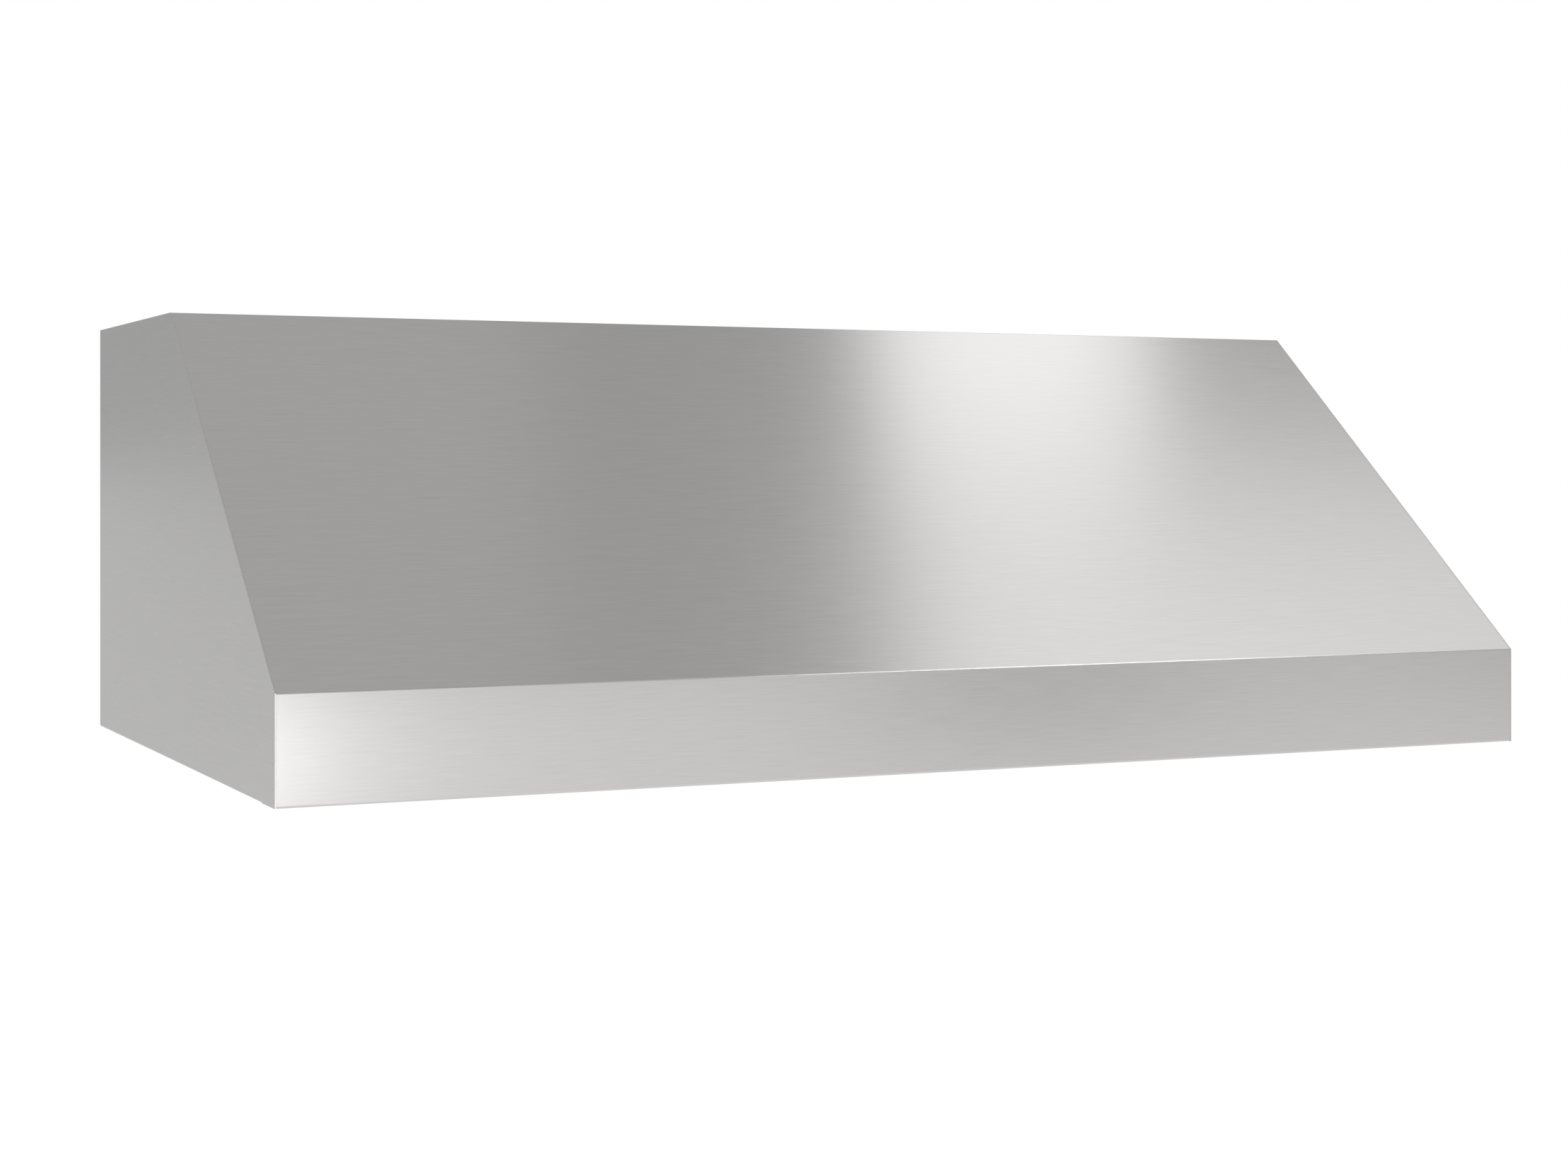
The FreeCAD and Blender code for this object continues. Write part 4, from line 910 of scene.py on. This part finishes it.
def makeKnob(name, node, body):
    low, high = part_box(node)
    centre = Vector(((low.x + high.x) / 2, (low.y + high.y) / 2, 0))
    r = knob["radius"]
    base = low.z + knob["skirt"]
    dish = low.z + knob["dish"]
    spindle = knob["spindle"]
    bm = bmesh.new()
    profile = [
        (0, dish), (r * knob["dishInner"], dish), (r * knob["dishOuter"], low.z),
        (r - 0.0028, low.z), (r - 0.0013, low.z + 0.0009), (r - 0.0008, low.z + 0.003),
        (r, base - 0.003), (r, base), (spindle, base), (spindle, high.z), (0, high.z),
    ]
    lathe(bm, profile, centre, steps=2 * knob["ribs"])
    for vert in bm.verts:  # every other row of the skirt sinks in, which leaves the ribs
        out = Vector((vert.co.x - centre.x, vert.co.y - centre.y, 0))
        step = round(math.atan2(out.y, out.x) / math.tau * 2 * knob["ribs"])
        if step % 2 and out.length > r - 2 * knob["ribDepth"]:
            vert.co -= out.normalized() * knob["ribDepth"]
    addPiece(f"{name}Turned", bm, knobMetal, body, [node])
    bm = bmesh.new()
    wide = knob["markWidth"] / 2
    block(
        bm, (centre.x - wide, centre.y + r * knob["markStart"], low.z - knob["markRise"]),
        (centre.x + wide, centre.y + r * knob["markEnd"], low.z + knob["markDepth"]),
        knob["markRise"] / 2,
    )
    addPiece(f"{name}Mark", bm, dialInk, body)
    return centre


def makeDial(name, centre):
    bm = bmesh.new()
    for step in range(knob["dialSteps"] + 1):
        turn = math.radians(-knob["dialSweep"] * step / knob["dialSteps"])
        part = bmesh.new()
        wide = knob["strokeHalf"] if step % 3 else knob["longStrokeHalf"]
        block(
            part, (-wide, knob["dialInner"], panelUnder - knob["strokeRise"]),
            (wide, knob["dialOuter"], panelUnder + knob["strokeDepth"]),
        )
        about = Matrix.Rotation(turn, 3, "Z")
        bmesh.ops.rotate(part, verts=part.verts, cent=(0, 0, 0), matrix=about)
        bmesh.ops.translate(part, verts=part.verts, vec=centre)
        pour(part, bm)
    addPiece(name, bm, dialInk, "hood")


makeDial("fanDial", makeKnob("fanKnob", "knob_fan", "fan_knob"))
makeDial("lightDial", makeKnob("lightKnob", "knob_light", "light_knob"))

lamp = {
    "radius": 0.031,
    "rim": 0.008,
    "drop": 0.0025,
    "ribs": 7,
    "ribRise": 0.0003,
    "ringSteps": 96,
    "lensSteps": 72,
    "lensGap": 0.0012,
    "lensFace": 0.001,  # below the panel
    "lensBack": 0.002,
    "chips": 8,
    "chipSize": 0.003,
    "chipRing": 0.017,
    "chipFace": 0.006,
    "chipBevel": 0.0002,
    "boardGap": 0.002,
    "boardFace": 0.0072,
    "boardBack": 0.0088,
}


def makeLamp(side):
    low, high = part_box(f"lamp_bezel_{side}")
    centre = Vector(((low.x + high.x) / 2, (low.y + high.y) / 2, high.z))
    r = lamp["radius"]
    outer = r + lamp["rim"]
    bm = bmesh.new()
    lathe(bm, [
        (r - 0.003, -0.0012), (r - 0.0026, -0.0022), (r - 0.0016, -lamp["drop"]),
        (outer - 0.0030, -lamp["drop"]), (outer - 0.0012, -0.0021), (outer - 0.0003, -0.0013),
        (outer, -0.0004), (outer, 0), (r - 0.001, 0), (r - 0.001, -0.001), (r - 0.003, -0.001),
    ], centre, steps=lamp["ringSteps"])
    capital = side.capitalize()
    addPiece(f"lampBezel{capital}", bm, trimChrome, "hood", [f"lamp_bezel_{side}"])
    lensRadius = r - lamp["lensGap"]
    face = -lamp["lensFace"]
    profile = [(0, face)]
    for i in range(1, 2 * lamp["ribs"]):
        step = lensRadius * i / (2 * lamp["ribs"])
        profile.append((step, face - (lamp["ribRise"] if i % 2 else 0)))
    profile += [(lensRadius, face), (lensRadius, lamp["lensBack"]), (0, lamp["lensBack"])]
    bm = bmesh.new()
    lathe(bm, profile, centre, steps=lamp["lensSteps"])
    addPiece(f"lampLens{capital}", bm, lampGlass, "hood", [f"lamp_lens_{side}"])
    bm = bmesh.new()
    size = lamp["chipSize"] / 2
    for i in range(lamp["chips"]):
        turn = math.tau * i / lamp["chips"]
        x = centre.x + lamp["chipRing"] * math.cos(turn)
        y = centre.y + lamp["chipRing"] * math.sin(turn)
        block(
            bm, (x - size, y - size, centre.z + lamp["chipFace"]),
            (x + size, y + size, centre.z + lamp["boardFace"]), lamp["chipBevel"],
        )
    addPiece(f"lampChips{capital}", bm, ledPhosphor, "hood")
    bm = bmesh.new()
    rim = r - lamp["boardGap"]
    face, back = lamp["boardFace"], lamp["boardBack"]
    lathe(bm, [(0, face), (rim, face), (rim, back), (0, back)], centre)
    addPiece(f"lampBoard{capital}", bm, whitePlastic, "hood")


for side in ("left", "right"):
    makeLamp(side)
print("controls and lamps ready")


# screws with a cross recess

screw = {
    "headRadius": 0.0036,
    "headHeight": 0.0022,
    "slotHalf": 0.0005,
    "slotReach": 0.0019,
    "slotDepth": 0.0011,
    "steps": 24,
    "crown": ((1, 0), (1, 0.55), (0.88, 0.85), (0.68, 1)),  # parts of the radius and height
    "shankRadius": 0.002,
    "tipRadius": 0.0014,
    "tipHeight": 0.0006,
    "shankSteps": 16,
    "overlap": 0.0002,  # of the shank into the head
    "mergeWithin": 1e-5,
}


# a pan head whose crown looks along +Z, with a cross recess sunk into it
def makeHead():
    bm = bmesh.new()
    r = screw["headRadius"]
    tall = screw["headHeight"]
    rings = []
    for wide, up in screw["crown"]:
        ring = bmesh.ops.create_circle(
            bm, cap_ends=False, segments=screw["steps"], radius=r * wide,
            matrix=Matrix.Translation((0, 0, tall * up)),
        )["verts"]
        rings.append({e for v in ring for e in v.link_edges})
    for lower, upper in zip(rings, rings[1:]):
        bmesh.ops.bridge_loops(bm, edges=list(lower | upper))
    w = screw["slotHalf"]
    s = screw["slotReach"]
    arm = [(w, w), (w, s), (-w, s)]
    cross = []
    for k in range(4):
        turn = Matrix.Rotation(math.radians(90 * k), 3, "Z")
        cross += [turn @ Vector((x, y, tall)) for x, y in arm]
    corners = [bm.verts.new(p) for p in cross]
    edges = [bm.edges.new((a, b)) for a, b in zip(corners, corners[1:] + corners[:1])]
    bmesh.ops.bridge_loops(bm, edges=list(rings[-1]) + edges)
    floor = bm.faces.new(corners)
    sunk = bmesh.ops.extrude_discrete_faces(bm, faces=[floor])["faces"][0]
    bmesh.ops.translate(bm, verts=sunk.verts, vec=(0, 0, -screw["slotDepth"]))
    bmesh.ops.holes_fill(bm, edges=list(rings[0]), sides=screw["steps"])
    bmesh.ops.recalc_face_normals(bm, faces=bm.faces)
    return bm


# a head and shank over every screw of a CAD node, crown facing the given way
def makeScrews(name, node, crown):
    mesh = nodes[node].data
    copied = bmesh.new()
    copied.from_mesh(mesh)
    bmesh.ops.remove_doubles(copied, verts=copied.verts, dist=screw["mergeWithin"])
    waiting = set(copied.verts)
    bm = bmesh.new()
    facing = Vector(crown)
    turn = Vector((0, 0, 1)).rotation_difference(facing).to_matrix().to_4x4()
    while waiting:  # one screw after another, each an island of joined vertices
        island = [waiting.pop()]
        for vert in island:
            for edge in vert.link_edges:
                other = edge.other_vert(vert)
                if other in waiting:
                    waiting.remove(other)
                    island.append(other)
        places = [v.co for v in island]
        middle = (Vector(map(min, zip(*places))) + Vector(map(max, zip(*places)))) / 2
        top = max(p.dot(facing) for p in places)
        base = min(p.dot(facing) for p in places)
        seat = middle + facing * (top - screw["headHeight"] - middle.dot(facing))
        head = makeHead()
        bmesh.ops.transform(head, matrix=Matrix.Translation(seat) @ turn, verts=head.verts)
        pour(head, bm)
        tip = base - top + screw["headHeight"]
        shank = screw["shankRadius"]
        profile = [
            (0, tip), (screw["tipRadius"], tip), (shank, tip + screw["tipHeight"]),
            (shank, screw["overlap"]), (0, screw["overlap"]),
        ]
        lathe(bm, profile, seat, turn, screw["shankSteps"])
    copied.free()
    addPiece(name, bm, screwZinc, "hood", [node])


makeScrews("channelScrews", "channel_screws", (0, -1, 0))
makeScrews("collarScrews", "collar_screws", (0, 0, -1))
makeScrews("hangerScrews", "hanger_screws", (0, 0, -1))
makeScrews("motorScrews", "motor_screws", (-1, 0, 0))
print("screws ready")
